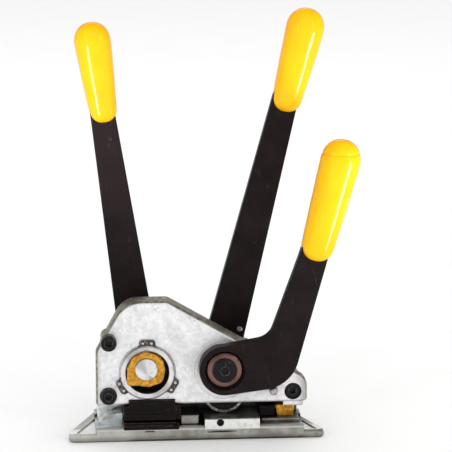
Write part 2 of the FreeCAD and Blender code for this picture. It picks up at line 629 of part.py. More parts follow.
def rear_cover():
    cover = case_solid(0.0, CASE_REAR_Y, COVER_REAR_Y)
    high = [e for e in edges_at_y(cover, COVER_REAR_Y) if e.BoundBox.ZMax > 46.0]
    cover = fillet_if_possible(cover, 4.5, high)
    boss = rod(SEAL_X, SEAL_Z, 17.5, -3.0, CASE_REAR_Y)
    cover = join([cover, boss])
    tools = [rod(SEAL_X, SEAL_Z, SEAL_BUSH_OUTER, -4, COVER_REAR_Y + 1),
             rod(PIVOT_X, PIVOT_Z, PIVOT_BUSH_OUTER, CASE_REAR_Y - 1, COVER_REAR_Y + 1),
             rod(HOLD_PAWL_X, HOLD_PAWL_Z, PAWL_PIN_RADIUS, 8.0, COVER_REAR_Y + 1)]
    for x, z, _, tip_y in SCREW_SEATS[1:]:
        tools.append(rod(x, z, SCREW_THREAD_RADIUS, CASE_REAR_Y - 1, tip_y + 0.5))
    for x in BASE_SCREW_XS:
        tools.append(post(x, BASE_SCREW_Y, BASE_SCREW_RADIUS, HOUSING_BOTTOM - 1, BASE_SCREW_TOP))
    return cut_all(cover, tools)


def seal_bush():
    return ring(SEAL_X, SEAL_Z, SEAL_BUSH_OUTER, SEAL_JOURNAL + RUNNING_FIT, -3.0, COVER_REAR_Y)


def pivot_bush():
    return ring(PIVOT_X, PIVOT_Z, PIVOT_BUSH_OUTER, PIVOT_JOURNAL + RUNNING_FIT,
                CASE_REAR_Y, COVER_REAR_Y)


def hold_pawl_pin():
    return turned([(8.0, PAWL_PIN_RADIUS), (21.6, PAWL_PIN_RADIUS), (21.6, 4.6), (23.0, 4.6),
                   (23.4, 4.0)], HOLD_PAWL_X, HOLD_PAWL_Z)


# ---- release lever group ---------------------------------------------------------------------------
LEVER_GRIP_START = (92.9, 148.8)
LEVER_GRIP_LEAN = -14.4
LEVER_GRIP_LENGTH = 101.0
SPIGOT_RADIUS = 9.0
SPIGOT_FLAT = 7.6
COUNTERBORE_RADIUS = 16.4


def spigot(y0, y1):
    """Round key end with two flats that turns the carrier with the lever."""
    flats = box(PIVOT_X - 20, PIVOT_X + 20, y0, y1, PIVOT_Z - SPIGOT_FLAT, PIVOT_Z + SPIGOT_FLAT)
    return rod(PIVOT_X, PIVOT_Z, SPIGOT_RADIUS, y0, y1).common(flats)


def lever_bar():
    """Bent lever plate: round hub, short arm to the right, then up into the grip."""
    tip = 84.0
    half = 7.5
    top_outer = from_pivot(*LEVER_GRIP_START, LEVER_GRIP_LEAN, tip, half)
    top_inner = from_pivot(*LEVER_GRIP_START, LEVER_GRIP_LEAN, tip, -half)
    corners = [(24.7, 40.4, 0), (75.1, 46.9, 30.0), (104.0, 151.5, 12.0),
               (top_outer[0], top_outer[1], 5.0), (top_inner[0], top_inner[1], 5.0),
               (80.0, 151.0, 12.0), (57.2, 87.2, 15.0), (17.6, 80.3, 0)]
    arm = plate(corners, LEVER_FRONT_Y, LEVER_REAR_Y)
    hub = rod(PIVOT_X, PIVOT_Z, LEVER_HUB_RADIUS, LEVER_FRONT_Y, LEVER_REAR_Y)
    solid = soften(join([arm, hub]), [LEVER_FRONT_Y, LEVER_REAR_Y], 0.9)
    solid = solid.cut(rod(PIVOT_X, PIVOT_Z, COUNTERBORE_RADIUS, LEVER_FRONT_Y - 1, LEVER_SEAT_Y))
    return solid.cut(spigot(LEVER_SEAT_Y - 1, LEVER_REAR_Y + 1))


def grip_solid(start, lean, length, low_radius, top_radius, y_middle):
    """Dipped grip: swells towards the top and is round at both ends."""
    low = Vector(0, 0, 0)
    shoulder = Vector(low_radius * 0.60, 0, 0)
    lip = Vector(low_radius * 0.885, 0, 1.9)
    side = Vector(low_radius, 0, 6.5)
    waist = Vector(low_radius + (top_radius - low_radius) * 0.42, 0, length * 0.38)
    bulge = Vector(top_radius, 0, length - top_radius * 1.12)
    crown = Vector(top_radius * 0.72, 0, length - top_radius * 0.31)
    tip = Vector(0, 0, length)
    flank = Part.BSplineCurve()
    flank.interpolate(Points=[side, waist, bulge, crown, tip],
                      InitialTangent=Vector(0.04, 0, 1), FinalTangent=Vector(-1, 0, 0))
    edges = [Part.LineSegment(low, shoulder).toShape(), Part.Arc(shoulder, lip, side).toShape(),
             flank.toShape(), Part.LineSegment(tip, low).toShape()]
    body = Part.Face(Part.Wire(edges)).revolve(Vector(0, 0, 0), Vector(0, 0, 1), 360)
    body.rotate(Vector(0, 0, 0), Vector(0, 1, 0), -lean)
    body.translate(Vector(start[0], y_middle, start[1]))
    return body


def lever_grip(bar):
    middle = (LEVER_FRONT_Y + LEVER_REAR_Y) / 2.0
    grip = grip_solid(LEVER_GRIP_START, LEVER_GRIP_LEAN, LEVER_GRIP_LENGTH, 13.2, 16.4, middle)
    return grip.cut(bar)


def lever_washer():
    """Dished washer under the lever screw."""
    blank = turned([(-38.6, 10.6), (-38.5, 12.2), (-38.1, 13.7), (-37.4, 14.8), (LEVER_SEAT_Y, 15.2)],
                   PIVOT_X, PIVOT_Z)
    return blank.cut(rod(PIVOT_X, PIVOT_Z, 5.0, -40, -35))


def lever_screw():
    head = turned([(-41.4, 8.6), (-41.0, 9.6), (-40.4, 9.9), (-38.6, 9.9), (-38.6, 5.0), (-27.0, 5.0)],
                  PIVOT_X, PIVOT_Z)
    return head.cut(hexagon(PIVOT_X, PIVOT_Z, 7.0, -42.0, -38.4, 10))


CHEEK_FRONT_Y0, CHEEK_FRONT_Y1 = -17.5, -13.5
CHEEK_REAR_Y0, CHEEK_REAR_Y1 = 3.0, 5.6
FEED_SHAFT_RADIUS = 5.0
FEED_BUSH_RADIUS = 7.0
FRONT_JOURNAL = 6.0
SPRING_X, SPRING_Y = 49.5, -13.2
SPRING_SEAT_Z, SPRING_TOP_Z = 53.0, 63.1
BRIDGE_FROM, BRIDGE_TO = 95.0, 185.0     # sector of the bridge between the cheeks, from +X


def hull_plate(x0, z0, r0, x1, z1, r1, y0, y1):
    """Plate that wraps two circles: two discs and a tapered web between them."""
    length = math.hypot(x1 - x0, z1 - z0)
    along = ((x1 - x0) / length, (z1 - z0) / length)
    slope = math.asin((r0 - r1) / length)
    corners = []
    for x, z, r, side in ((x0, z0, r0, 1), (x1, z1, r1, 1), (x1, z1, r1, -1), (x0, z0, r0, -1)):
        angle = math.atan2(along[1], along[0]) + side * (math.pi / 2.0 - slope)
        corners.append((x + r * math.cos(angle), z + r * math.sin(angle), 0))
    web = plate(corners, y0, y1)
    return join([web, rod(x0, z0, r0, y0, y1), rod(x1, z1, r1, y0, y1)])


def feed_carrier():
    """Swinging carrier: sleeve in the front wall, two cheeks either side of the feed wheel."""
    sleeve = rod(PIVOT_X, PIVOT_Z, SLEEVE_RADIUS, LEVER_REAR_Y, CHEEK_FRONT_Y1)
    front = hull_plate(PIVOT_X, PIVOT_Z, 16.5, WHEEL_X, WHEEL_Z, 11.0, CHEEK_FRONT_Y0, CHEEK_FRONT_Y1)
    rear = hull_plate(PIVOT_X, PIVOT_Z, 16.5, WHEEL_X, WHEEL_Z, 11.0, CHEEK_REAR_Y0, CHEEK_REAR_Y1)
    bridge = ring(PIVOT_X, PIVOT_Z, 16.5, 12.9, CHEEK_FRONT_Y0, CHEEK_REAR_Y1)
    sector = [(PIVOT_X, PIVOT_Z, 0)]
    for degrees in (BRIDGE_FROM, (BRIDGE_FROM + BRIDGE_TO) / 2.0, BRIDGE_TO):
        sector.append((PIVOT_X + 30.0 * math.cos(math.radians(degrees)),
                       PIVOT_Z + 30.0 * math.sin(math.radians(degrees)), 0))
    bridge = bridge.common(plate(sector, CHEEK_FRONT_Y0, CHEEK_REAR_Y1))
    arm = plate([(PIVOT_X + 8, PIVOT_Z - 12, 0), (53.8, 47.0, 2.0), (53.8, SPRING_SEAT_Z, 1.0),
                 (44.6, SPRING_SEAT_Z, 1.0), (PIVOT_X + 8, PIVOT_Z + 6, 0)],
                CHEEK_FRONT_Y0, CHEEK_FRONT_Y1)
    pad = box(45.2, 53.8, CHEEK_FRONT_Y0, -8.8, 49.0, SPRING_SEAT_Z)
    key = spigot(LEVER_SEAT_Y, LEVER_REAR_Y)
    solid = join([sleeve, front, rear, bridge, arm, pad, key])
    tools = [rod(PIVOT_X, PIVOT_Z, 5.0, LEVER_SEAT_Y - 1, -26.5),
             rod(PIVOT_X, PIVOT_Z, FRONT_JOURNAL + RUNNING_FIT, -24.5, CHEEK_FRONT_Y1 + 1),
             rod(PIVOT_X, PIVOT_Z, PIVOT_JOURNAL + RUNNING_FIT, CHEEK_REAR_Y0 - 1, CHEEK_REAR_Y1 + 1),
             rod(WHEEL_X, WHEEL_Z, FEED_BUSH_RADIUS, CHEEK_FRONT_Y0 - 1, CHEEK_REAR_Y1 + 1)]
    return cut_all(solid, tools)


def feed_bushes():
    bushes = []
    for y0, y1 in ((CHEEK_FRONT_Y0, CHEEK_FRONT_Y1), (CHEEK_REAR_Y0, CHEEK_REAR_Y1)):
        bushes.append(ring(WHEEL_X, WHEEL_Z, FEED_BUSH_RADIUS, FEED_SHAFT_RADIUS + RUNNING_FIT, y0, y1))
    return Part.makeCompound(bushes)


def lever_spring():
    return coil_spring(SPRING_X, SPRING_Y, SPRING_SEAT_Z + 0.1, SPRING_TOP_Z, 3.2, 0.7, 4.0)


# ---- feed wheel and ratchet groups -------------------------------------------------------------------
def feed_shaft():
    return turned([(CHEEK_FRONT_Y0, FEED_SHAFT_RADIUS - 0.5), (CHEEK_FRONT_Y0 + 0.5, FEED_SHAFT_RADIUS),
                   (CHEEK_REAR_Y1 - 0.5, FEED_SHAFT_RADIUS), (CHEEK_REAR_Y1, FEED_SHAFT_RADIUS - 0.5)],
                  WHEEL_X, WHEEL_Z)


def feed_wheel():
    """Serrated wheel that drives the strap; its teeth meet the gripper plate."""
    disc = toothed_disc(WHEEL_X, WHEEL_Z, WHEEL_RADIUS, WHEEL_RADIUS - 0.9, WHEEL_TEETH,
                        WHEEL_Y0, WHEEL_Y1, 0.4, 0.2)
    return disc.cut(rod(WHEEL_X, WHEEL_Z, FEED_SHAFT_RADIUS, WHEEL_Y0 - 1, WHEEL_Y1 + 1))


def mesh_turn():
    """Turn that sets a gap of the driven gear against a tooth of the pinion."""
    line = math.degrees(math.atan2(PIVOT_Z - WHEEL_Z, PIVOT_X - WHEEL_X))
    return line + 180.0, line + 180.0 / DRIVEN_TEETH


def driven_gear():
    gear = involute_gear(DRIVEN_TEETH, WHEEL_X, WHEEL_Z, GEAR_Y0, GEAR_Y1, mesh_turn()[1])
    spacer = rod(WHEEL_X, WHEEL_Z, 8.0, WHEEL_Y1, GEAR_Y0)
    gear = join([gear, spacer])
    return gear.cut(rod(WHEEL_X, WHEEL_Z, FEED_SHAFT_RADIUS, WHEEL_Y1 - 1, GEAR_Y1 + 1))


def pinion_shaft():
    """Pinion and its shaft in one piece: front journal, pinion, bush journal, ratchet seat."""
    shaft = turned([(-24.2, FRONT_JOURNAL - 0.6), (-23.6, FRONT_JOURNAL), (-12.5, FRONT_JOURNAL),
                    (-12.5, PIVOT_JOURNAL), (RATCHET_Y1, PIVOT_JOURNAL), (RATCHET_Y1, 7.0),
                    (BAR_Y1 + 0.4, 7.0), (BAR_Y1 + 0.4, 5.0), (40.0, 5.0), (40.6, 4.4)],
                   PIVOT_X, PIVOT_Z)
    pinion = involute_gear(PINION_TEETH, PIVOT_X, PIVOT_Z, GEAR_Y0, GEAR_Y1, mesh_turn()[0])
    return join([shaft, pinion])


def ratchet_wheel():
    wheel = toothed_disc(PIVOT_X, PIVOT_Z, RATCHET_TIP, RATCHET_ROOT, RATCHET_TEETH,
                         RATCHET_Y0, RATCHET_Y1, 0.86, 0.12)
    return wheel.cut(rod(PIVOT_X, PIVOT_Z, PIVOT_JOURNAL, RATCHET_Y0 - 1, RATCHET_Y1 + 1))


def tension_washer():
    return ring(PIVOT_X, PIVOT_Z, 11.5, 5.0, BAR_Y1 + 0.4, BAR_Y1 + 2.4)


def tension_nut():
    return nut_with_bevel(PIVOT_X, PIVOT_Z, 17.0, 5.0, BAR_Y1 + 2.4, BAR_Y1 + 9.6)


# ---- rear handles ------------------------------------------------------------------------------------
def straight_bar(x, z, lean, offset, hub_radius, root_half, end_half, length):
    """Flat bar that tapers from its round hub to the end hidden in the grip."""
    corners = []
    for along, across, radius in ((0, offset + root_half, 0), (length, offset + end_half, 4.0),
                                  (length, offset - end_half, 4.0), (0, offset - root_half, 0)):
        px, pz = from_pivot(x, z, lean, along, across)
        corners.append((px, pz, radius))
    bar = plate(corners, BAR_Y0, BAR_Y1)
    hub = rod(x, z, hub_radius, BAR_Y0, BAR_Y1)
    return soften(join([bar, hub]), [BAR_Y0, BAR_Y1], 0.8)


SEAL_KEY_RADIUS = 10.0
SEAL_GRIP_START = 196.5
SEAL_GRIP_LENGTH = 82.5
TENSION_GRIP_START = 204.5
TENSION_GRIP_LENGTH = 86.5
HANDLE_BUSH_OUTER = 10.5
DRIVE_PAWL_LEAN = -95.0
DRIVE_PAWL_X, DRIVE_PAWL_Z = from_pivot(PIVOT_X, PIVOT_Z, DRIVE_PAWL_LEAN, PAWL_REACH, 0.0)
SPRING_POST_X, SPRING_POST_Z, SPRING_POST_RADIUS = 38.3, 79.0, 2.2


def seal_key(y0, y1):
    return box(SEAL_X - 1.5, SEAL_X + 1.5, y0, y1, SEAL_Z + SEAL_KEY_RADIUS - 2.0,
               SEAL_Z + SEAL_KEY_RADIUS + 1.6)


def sealing_handle():
    bar = straight_bar(SEAL_X, SEAL_Z, SEAL_LEAN, SEAL_OFFSET, 18.5, 15.6, 8.2, 266.0)
    bar = bar.cut(rod(SEAL_X, SEAL_Z, SEAL_KEY_RADIUS, BAR_Y0 - 1, BAR_Y1 + 1))
    return bar.cut(seal_key(BAR_Y0 - 1, BAR_Y1 + 1))


def tension_handle():
    bar = straight_bar(PIVOT_X, PIVOT_Z, TENSION_LEAN, TENSION_OFFSET, 20.0, 15.7, 9.0, 276.0)
    ear = hull_plate(PIVOT_X, PIVOT_Z, 16.0, DRIVE_PAWL_X, DRIVE_PAWL_Z, 7.0, BAR_Y0, BAR_Y1)
    bar = join([bar, ear])
    bar = bar.cut(rod(SPRING_POST_X, SPRING_POST_Z, SPRING_POST_RADIUS - 0.4, BAR_Y0 - 1, BAR_Y1 + 1))
    bar = bar.cut(rod(PIVOT_X, PIVOT_Z, HANDLE_BUSH_OUTER, BAR_Y0 - 1, BAR_Y1 + 1))
    return bar.cut(rod(DRIVE_PAWL_X, DRIVE_PAWL_Z, PAWL_PIN_RADIUS, BAR_Y0 - 1, BAR_Y1 + 1))


def sealing_grip(bar):
    start = from_pivot(SEAL_X, SEAL_Z, SEAL_LEAN, SEAL_GRIP_START, SEAL_OFFSET + 0.9)
    middle = (BAR_Y0 + BAR_Y1) / 2.0
    return grip_solid(start, SEAL_LEAN, SEAL_GRIP_LENGTH, 11.2, 14.8, middle).cut(bar)


def tension_grip(bar):
    start = from_pivot(PIVOT_X, PIVOT_Z, TENSION_LEAN, TENSION_GRIP_START, TENSION_OFFSET + 1.6)
    middle = (BAR_Y0 + BAR_Y1) / 2.0
    return grip_solid(start, TENSION_LEAN, TENSION_GRIP_LENGTH, 12.0, 15.5, middle).cut(bar)


def handle_bush():
    return ring(PIVOT_X, PIVOT_Z, HANDLE_BUSH_OUTER, 7.0 + RUNNING_FIT, BAR_Y0, BAR_Y1)


def eccentric_shaft():
    """Main journal on the handle axis with an offset crank pin at the front."""
    main = turned([(-8.0, 15.0), (-4.0, 15.0), (-4.0, SEAL_JOURNAL), (15.0, SEAL_JOURNAL),
                   (15.0, 13.5), (BAR_Y0, 13.5), (BAR_Y0, SEAL_KEY_RADIUS), (BAR_Y1, SEAL_KEY_RADIUS),
                   (BAR_Y1, 8.0), (39.4, 8.0), (40.2, 7.2)], SEAL_X, SEAL_Z)
    pin = turned([(-34.4, 8.5), (-33.9, 9.0), (-8.0, 9.0)], CRANK_X, CRANK_Z)
    return join([main, pin]).cut(seal_key(BAR_Y0, BAR_Y1))


def sealing_washer():
    return ring(SEAL_X, SEAL_Z, 13.5, 8.0, BAR_Y1, BAR_Y1 + 2.0)


def sealing_nut():
    return nut_with_bevel(SEAL_X, SEAL_Z, 24.0, 8.0, BAR_Y1 + 2.0, BAR_Y1 + 8.4)


# ---- pawls --------------------------------------------------------------------------------------------
NOSE_ACROSS = -10.8


def pawl(x, z, lean):
    """Pawl whose nose rides just clear of the ratchet's tips."""
    radius = RATCHET_TIP + PAWL_GAP
    nose_along = math.sqrt(radius ** 2 - NOSE_ACROSS ** 2)
    corners = []
    for along, across, rounding in ((PAWL_REACH - 5.6, 2.2, 0), (nose_along, NOSE_ACROSS, 0.6),
                                    (nose_along + 5.4, NOSE_ACROSS - 1.6, 1.2),
                                    (PAWL_REACH + 5.2, -3.0, 0)):
        px, pz = from_pivot(PIVOT_X, PIVOT_Z, lean, along, across)
        corners.append((px, pz, rounding))
    body = join([plate(corners, 15.3, 20.8), rod(x, z, 6.0, 15.3, 20.8)])
    return body.cut(rod(x, z, PAWL_PIN_RADIUS + RUNNING_FIT, 15, 21))


def drive_pawl():
    return pawl(DRIVE_PAWL_X, DRIVE_PAWL_Z, DRIVE_PAWL_LEAN)


def hold_pawl():
    return pawl(HOLD_PAWL_X, HOLD_PAWL_Z, HOLD_PAWL_ANGLE)


def drive_pawl_pin():
    return turned([(14.9, PAWL_PIN_RADIUS - 0.4), (15.3, PAWL_PIN_RADIUS), (BAR_Y1, PAWL_PIN_RADIUS),
                   (BAR_Y1, 4.6), (31.0, 4.6), (31.4, 4.2)], DRIVE_PAWL_X, DRIVE_PAWL_Z)


def spring_post():
    """Small post near the edge of the middle handle that the pawl's spring hooks on."""
    head = SPRING_POST_RADIUS
    return turned([(BAR_Y0 - 3.4, head - 0.5), (BAR_Y0 - 2.8, head), (BAR_Y0, head), (BAR_Y0, head - 0.4),
                   (BAR_Y1 - 0.5, head - 0.4)], SPRING_POST_X, SPRING_POST_Z)


# ---- crimping group -------------------------------------------------------------------------------------
CAP_STEP_Y, CAP_REAR_Y = -30.8, -29.4


def slide_block():
    """Bronze block on the crank pin: square in the carrier's slot, round through the window."""
    square = box(CRANK_X - BLOCK_HALF, CRANK_X + BLOCK_HALF, CARRIER_Y0, CARRIER_Y1,
                 CRANK_Z - BLOCK_HALF, CRANK_Z + BLOCK_HALF)
    neck = rod(CRANK_X, CRANK_Z, 12.8, CAP_REAR_Y, CARRIER_Y0)
    return join([square, neck]).cut(rod(CRANK_X, CRANK_Z, 9.0 + RUNNING_FIT, -30, -8))


def slide_cap():
    """Bronze cap plate in front of the window: flats on its left, bottom and lower right, and a
    fuller step behind that shows below the lower right flat."""
    upper = [(13.8, 6.4, 4.5), (7.6, 11.8, 5.0), (-0.6, 14.4, 1.6), (-11.2, 9.4, 6.0), (-15.4, 1.0, 5.0)]
    front = [(-15.4, -13.6, 2.2), (1.2, -13.6, 1.2), (14.7, -2.8, 2.4)] + upper
    rear = [(-14.6, -12.8, 2.2), (2.0, -15.2, 3.5), (13.2, -11.6, 5.0), (15.2, -1.0, 3.0)] + upper
    layers = []
    for outline, y0, y1 in ((front, -33.0, CAP_STEP_Y), (rear, CAP_STEP_Y, CAP_REAR_Y)):
        layers.append(plate([(CRANK_X + x, CRANK_Z + z, r) for x, z, r in outline], y0, y1))
    cap = join([soften(layers[0], [-33.0], 0.7), layers[1]])
    return cap.cut(rod(CRANK_X, CRANK_Z, 9.0 + RUNNING_FIT, -34, -29))


def punch_carrier():
    """Slide with a cross slot: the crank block moves it up and down between the housing guides."""
    body = box(CARRIER_LEFT, CARRIER_RIGHT, CARRIER_Y0, CARRIER_Y1, NOTCH_TOP, CARRIER_TOP)
    left = SEAL_X - CRANK_THROW - BLOCK_HALF - 0.5
    right = CRANK_X + BLOCK_HALF + 0.5
    slot = box(left, right, CARRIER_Y0 - 1, CARRIER_Y1 + 1, CRANK_Z - BLOCK_HALF - SLOT_BELOW,
               CRANK_Z + BLOCK_HALF + SLOT_ABOVE)
    solid = body.cut(slot)
    for x in (-45.0, -28.0):
        solid = solid.cut(post(x, -13.0, 2.5, NOTCH_TOP - 1, 44.0))
    return solid


def punch_block():
    """Upper crimping block, its ridges match the die's grooves."""
    lower = box(PUNCH_LEFT, PUNCH_RIGHT, PUNCH_FRONT_Y, PUNCH_REAR_Y, PUNCH_BOTTOM, PUNCH_STEP)
    upper = box(NOTCH_LEFT, NOTCH_RIGHT, PUNCH_FRONT_Y, PUNCH_REAR_Y, PUNCH_STEP, NOTCH_TOP)
    lip = box(PUNCH_LEFT, PUNCH_RIGHT, LIP_FRONT_Y, PUNCH_FRONT_Y + 0.1, LIP_BOTTOM, LIP_TOP)
    lip = fillet_if_possible(lip, 0.8, [e for e in lip.Edges if e.BoundBox.YMax < LIP_FRONT_Y + 1e-3])
    parts = [lower, upper, lip]
    middle = (PUNCH_LEFT + PUNCH_RIGHT) / 2.0
    for i in range(RIDGE_COUNT):
        x = middle + (i - (RIDGE_COUNT - 1) / 2.0) * RIDGE_PITCH
        parts.append(box(x - 1.7, x + 1.7, -25.0, -9.0, PUNCH_BOTTOM - 2.0, PUNCH_BOTTOM))
    solid = join(parts)
    for x in (-45.0, -28.0):
        solid = solid.cut(post(x, -13.0, 2.5, PUNCH_BOTTOM - 3, NOTCH_TOP + 1))
        solid = solid.cut(post(x, -13.0, 4.5, PUNCH_BOTTOM - 3, PUNCH_BOTTOM + 5))
    return solid


def punch_screws():
    screws = []
    for x in (-45.0, -28.0):
        head = post(x, -13.0, 4.25, PUNCH_BOTTOM + 0.5, PUNCH_BOTTOM + 5)
        head = head.cut(post(x, -13.0, 2.0, PUNCH_BOTTOM + 0.5, PUNCH_BOTTOM + 3))
        screws.append(join([head, post(x, -13.0, 2.5, PUNCH_BOTTOM + 5, 43.0)]))
    return Part.makeCompound(screws)


def cutter_blade():
    """Upper shear blade on the right flank of the punch."""
    corners = [(PUNCH_RIGHT, 18.2, 0), (-13.3, 17.2, 0), (-13.3, PUNCH_STEP, 0),
               (PUNCH_RIGHT, PUNCH_STEP, 0)]
    return plate(corners, -27.0, -9.0)


# ---- write every piece ---------------------------------------------------------------------------
def build():
    seal_bar = sealing_handle()
    tension_bar = tension_handle()
    bent_bar = lever_bar()
    return {
        "base_plate": base_plate(), "base_screws": base_screws(), "die_block": die_block(),
        "gripper_plate": gripper_plate(), "gripper_pin": gripper_pin(), "shear_block": shear_block(),
        "rear_guide": rear_guide(), "bronze_guide": bronze_guide(),
        "housing": housing(), "housing_screws": housing_screws(), "window_ring": window_ring(),
        "ring_dowels": ring_dowels(), "hub_ring": hub_ring(), "stop_pin": stop_pin(),
        "rear_cover": rear_cover(), "seal_bush": seal_bush(), "pivot_bush": pivot_bush(),
        "hold_pawl_pin": hold_pawl_pin(),
        "release_lever": bent_bar, "release_grip": lever_grip(bent_bar),
        "lever_washer": lever_washer(), "lever_screw": lever_screw(), "feed_carrier": feed_carrier(),
        "feed_bushes": feed_bushes(), "lever_spring": lever_spring(),
        "feed_wheel": feed_wheel(), "driven_gear": driven_gear(), "feed_shaft": feed_shaft(),
        "pinion_shaft": pinion_shaft(), "ratchet_wheel": ratchet_wheel(),
        "tension_washer": tension_washer(), "tension_nut": tension_nut(),
        "tension_handle": tension_bar, "tension_grip": tension_grip(tension_bar),
        "spring_post": spring_post(), "handle_bush": handle_bush(), "drive_pawl_pin": drive_pawl_pin(),
        "drive_pawl": drive_pawl(), "hold_pawl": hold_pawl(),
        "sealing_handle": seal_bar, "sealing_grip": sealing_grip(seal_bar),
        "eccentric_shaft": eccentric_shaft(), "shaft_key": seal_key(BAR_Y0, BAR_Y1),
        "sealing_washer": sealing_washer(), "sealing_nut": sealing_nut(),
        "slide_block": slide_block(), "slide_cap": slide_cap(),
        "punch_carrier": punch_carrier(), "punch_block": punch_block(),
        "punch_screws": punch_screws(), "cutter_blade": cutter_blade(),
    }


os.makedirs("parts", exist_ok=True)
for name, shape in build().items():
    shape.exportStep("parts/" + name + ".step")
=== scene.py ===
import json
import math

import bmesh
import bpy
from mathutils import Matrix, Vector


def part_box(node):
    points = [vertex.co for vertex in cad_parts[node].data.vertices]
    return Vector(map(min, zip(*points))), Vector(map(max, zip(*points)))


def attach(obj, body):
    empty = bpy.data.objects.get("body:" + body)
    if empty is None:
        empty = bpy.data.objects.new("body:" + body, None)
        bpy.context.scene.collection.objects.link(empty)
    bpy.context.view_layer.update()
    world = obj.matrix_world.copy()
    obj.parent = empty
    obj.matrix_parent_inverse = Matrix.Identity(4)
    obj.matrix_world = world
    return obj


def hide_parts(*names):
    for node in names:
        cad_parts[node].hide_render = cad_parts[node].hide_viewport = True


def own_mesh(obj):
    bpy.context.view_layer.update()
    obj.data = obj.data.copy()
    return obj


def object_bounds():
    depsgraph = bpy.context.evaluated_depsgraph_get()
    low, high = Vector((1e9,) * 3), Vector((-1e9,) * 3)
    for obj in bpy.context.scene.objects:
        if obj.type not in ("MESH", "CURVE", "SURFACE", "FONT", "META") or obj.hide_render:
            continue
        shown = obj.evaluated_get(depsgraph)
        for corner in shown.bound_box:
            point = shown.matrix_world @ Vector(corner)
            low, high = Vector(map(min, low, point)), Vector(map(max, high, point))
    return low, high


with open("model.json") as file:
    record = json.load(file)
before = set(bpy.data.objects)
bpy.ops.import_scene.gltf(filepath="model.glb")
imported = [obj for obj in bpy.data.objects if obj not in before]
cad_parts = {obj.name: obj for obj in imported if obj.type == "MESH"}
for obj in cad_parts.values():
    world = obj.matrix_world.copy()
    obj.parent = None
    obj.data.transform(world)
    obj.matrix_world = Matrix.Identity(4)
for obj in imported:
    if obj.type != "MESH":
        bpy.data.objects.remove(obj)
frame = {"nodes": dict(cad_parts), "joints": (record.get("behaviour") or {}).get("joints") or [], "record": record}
cad_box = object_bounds()

MM = 0.001
nodes = frame["nodes"]
pivots = {joint["name"]: Vector(joint["pos_m"]) for joint in frame["joints"] if "pos_m" in joint}


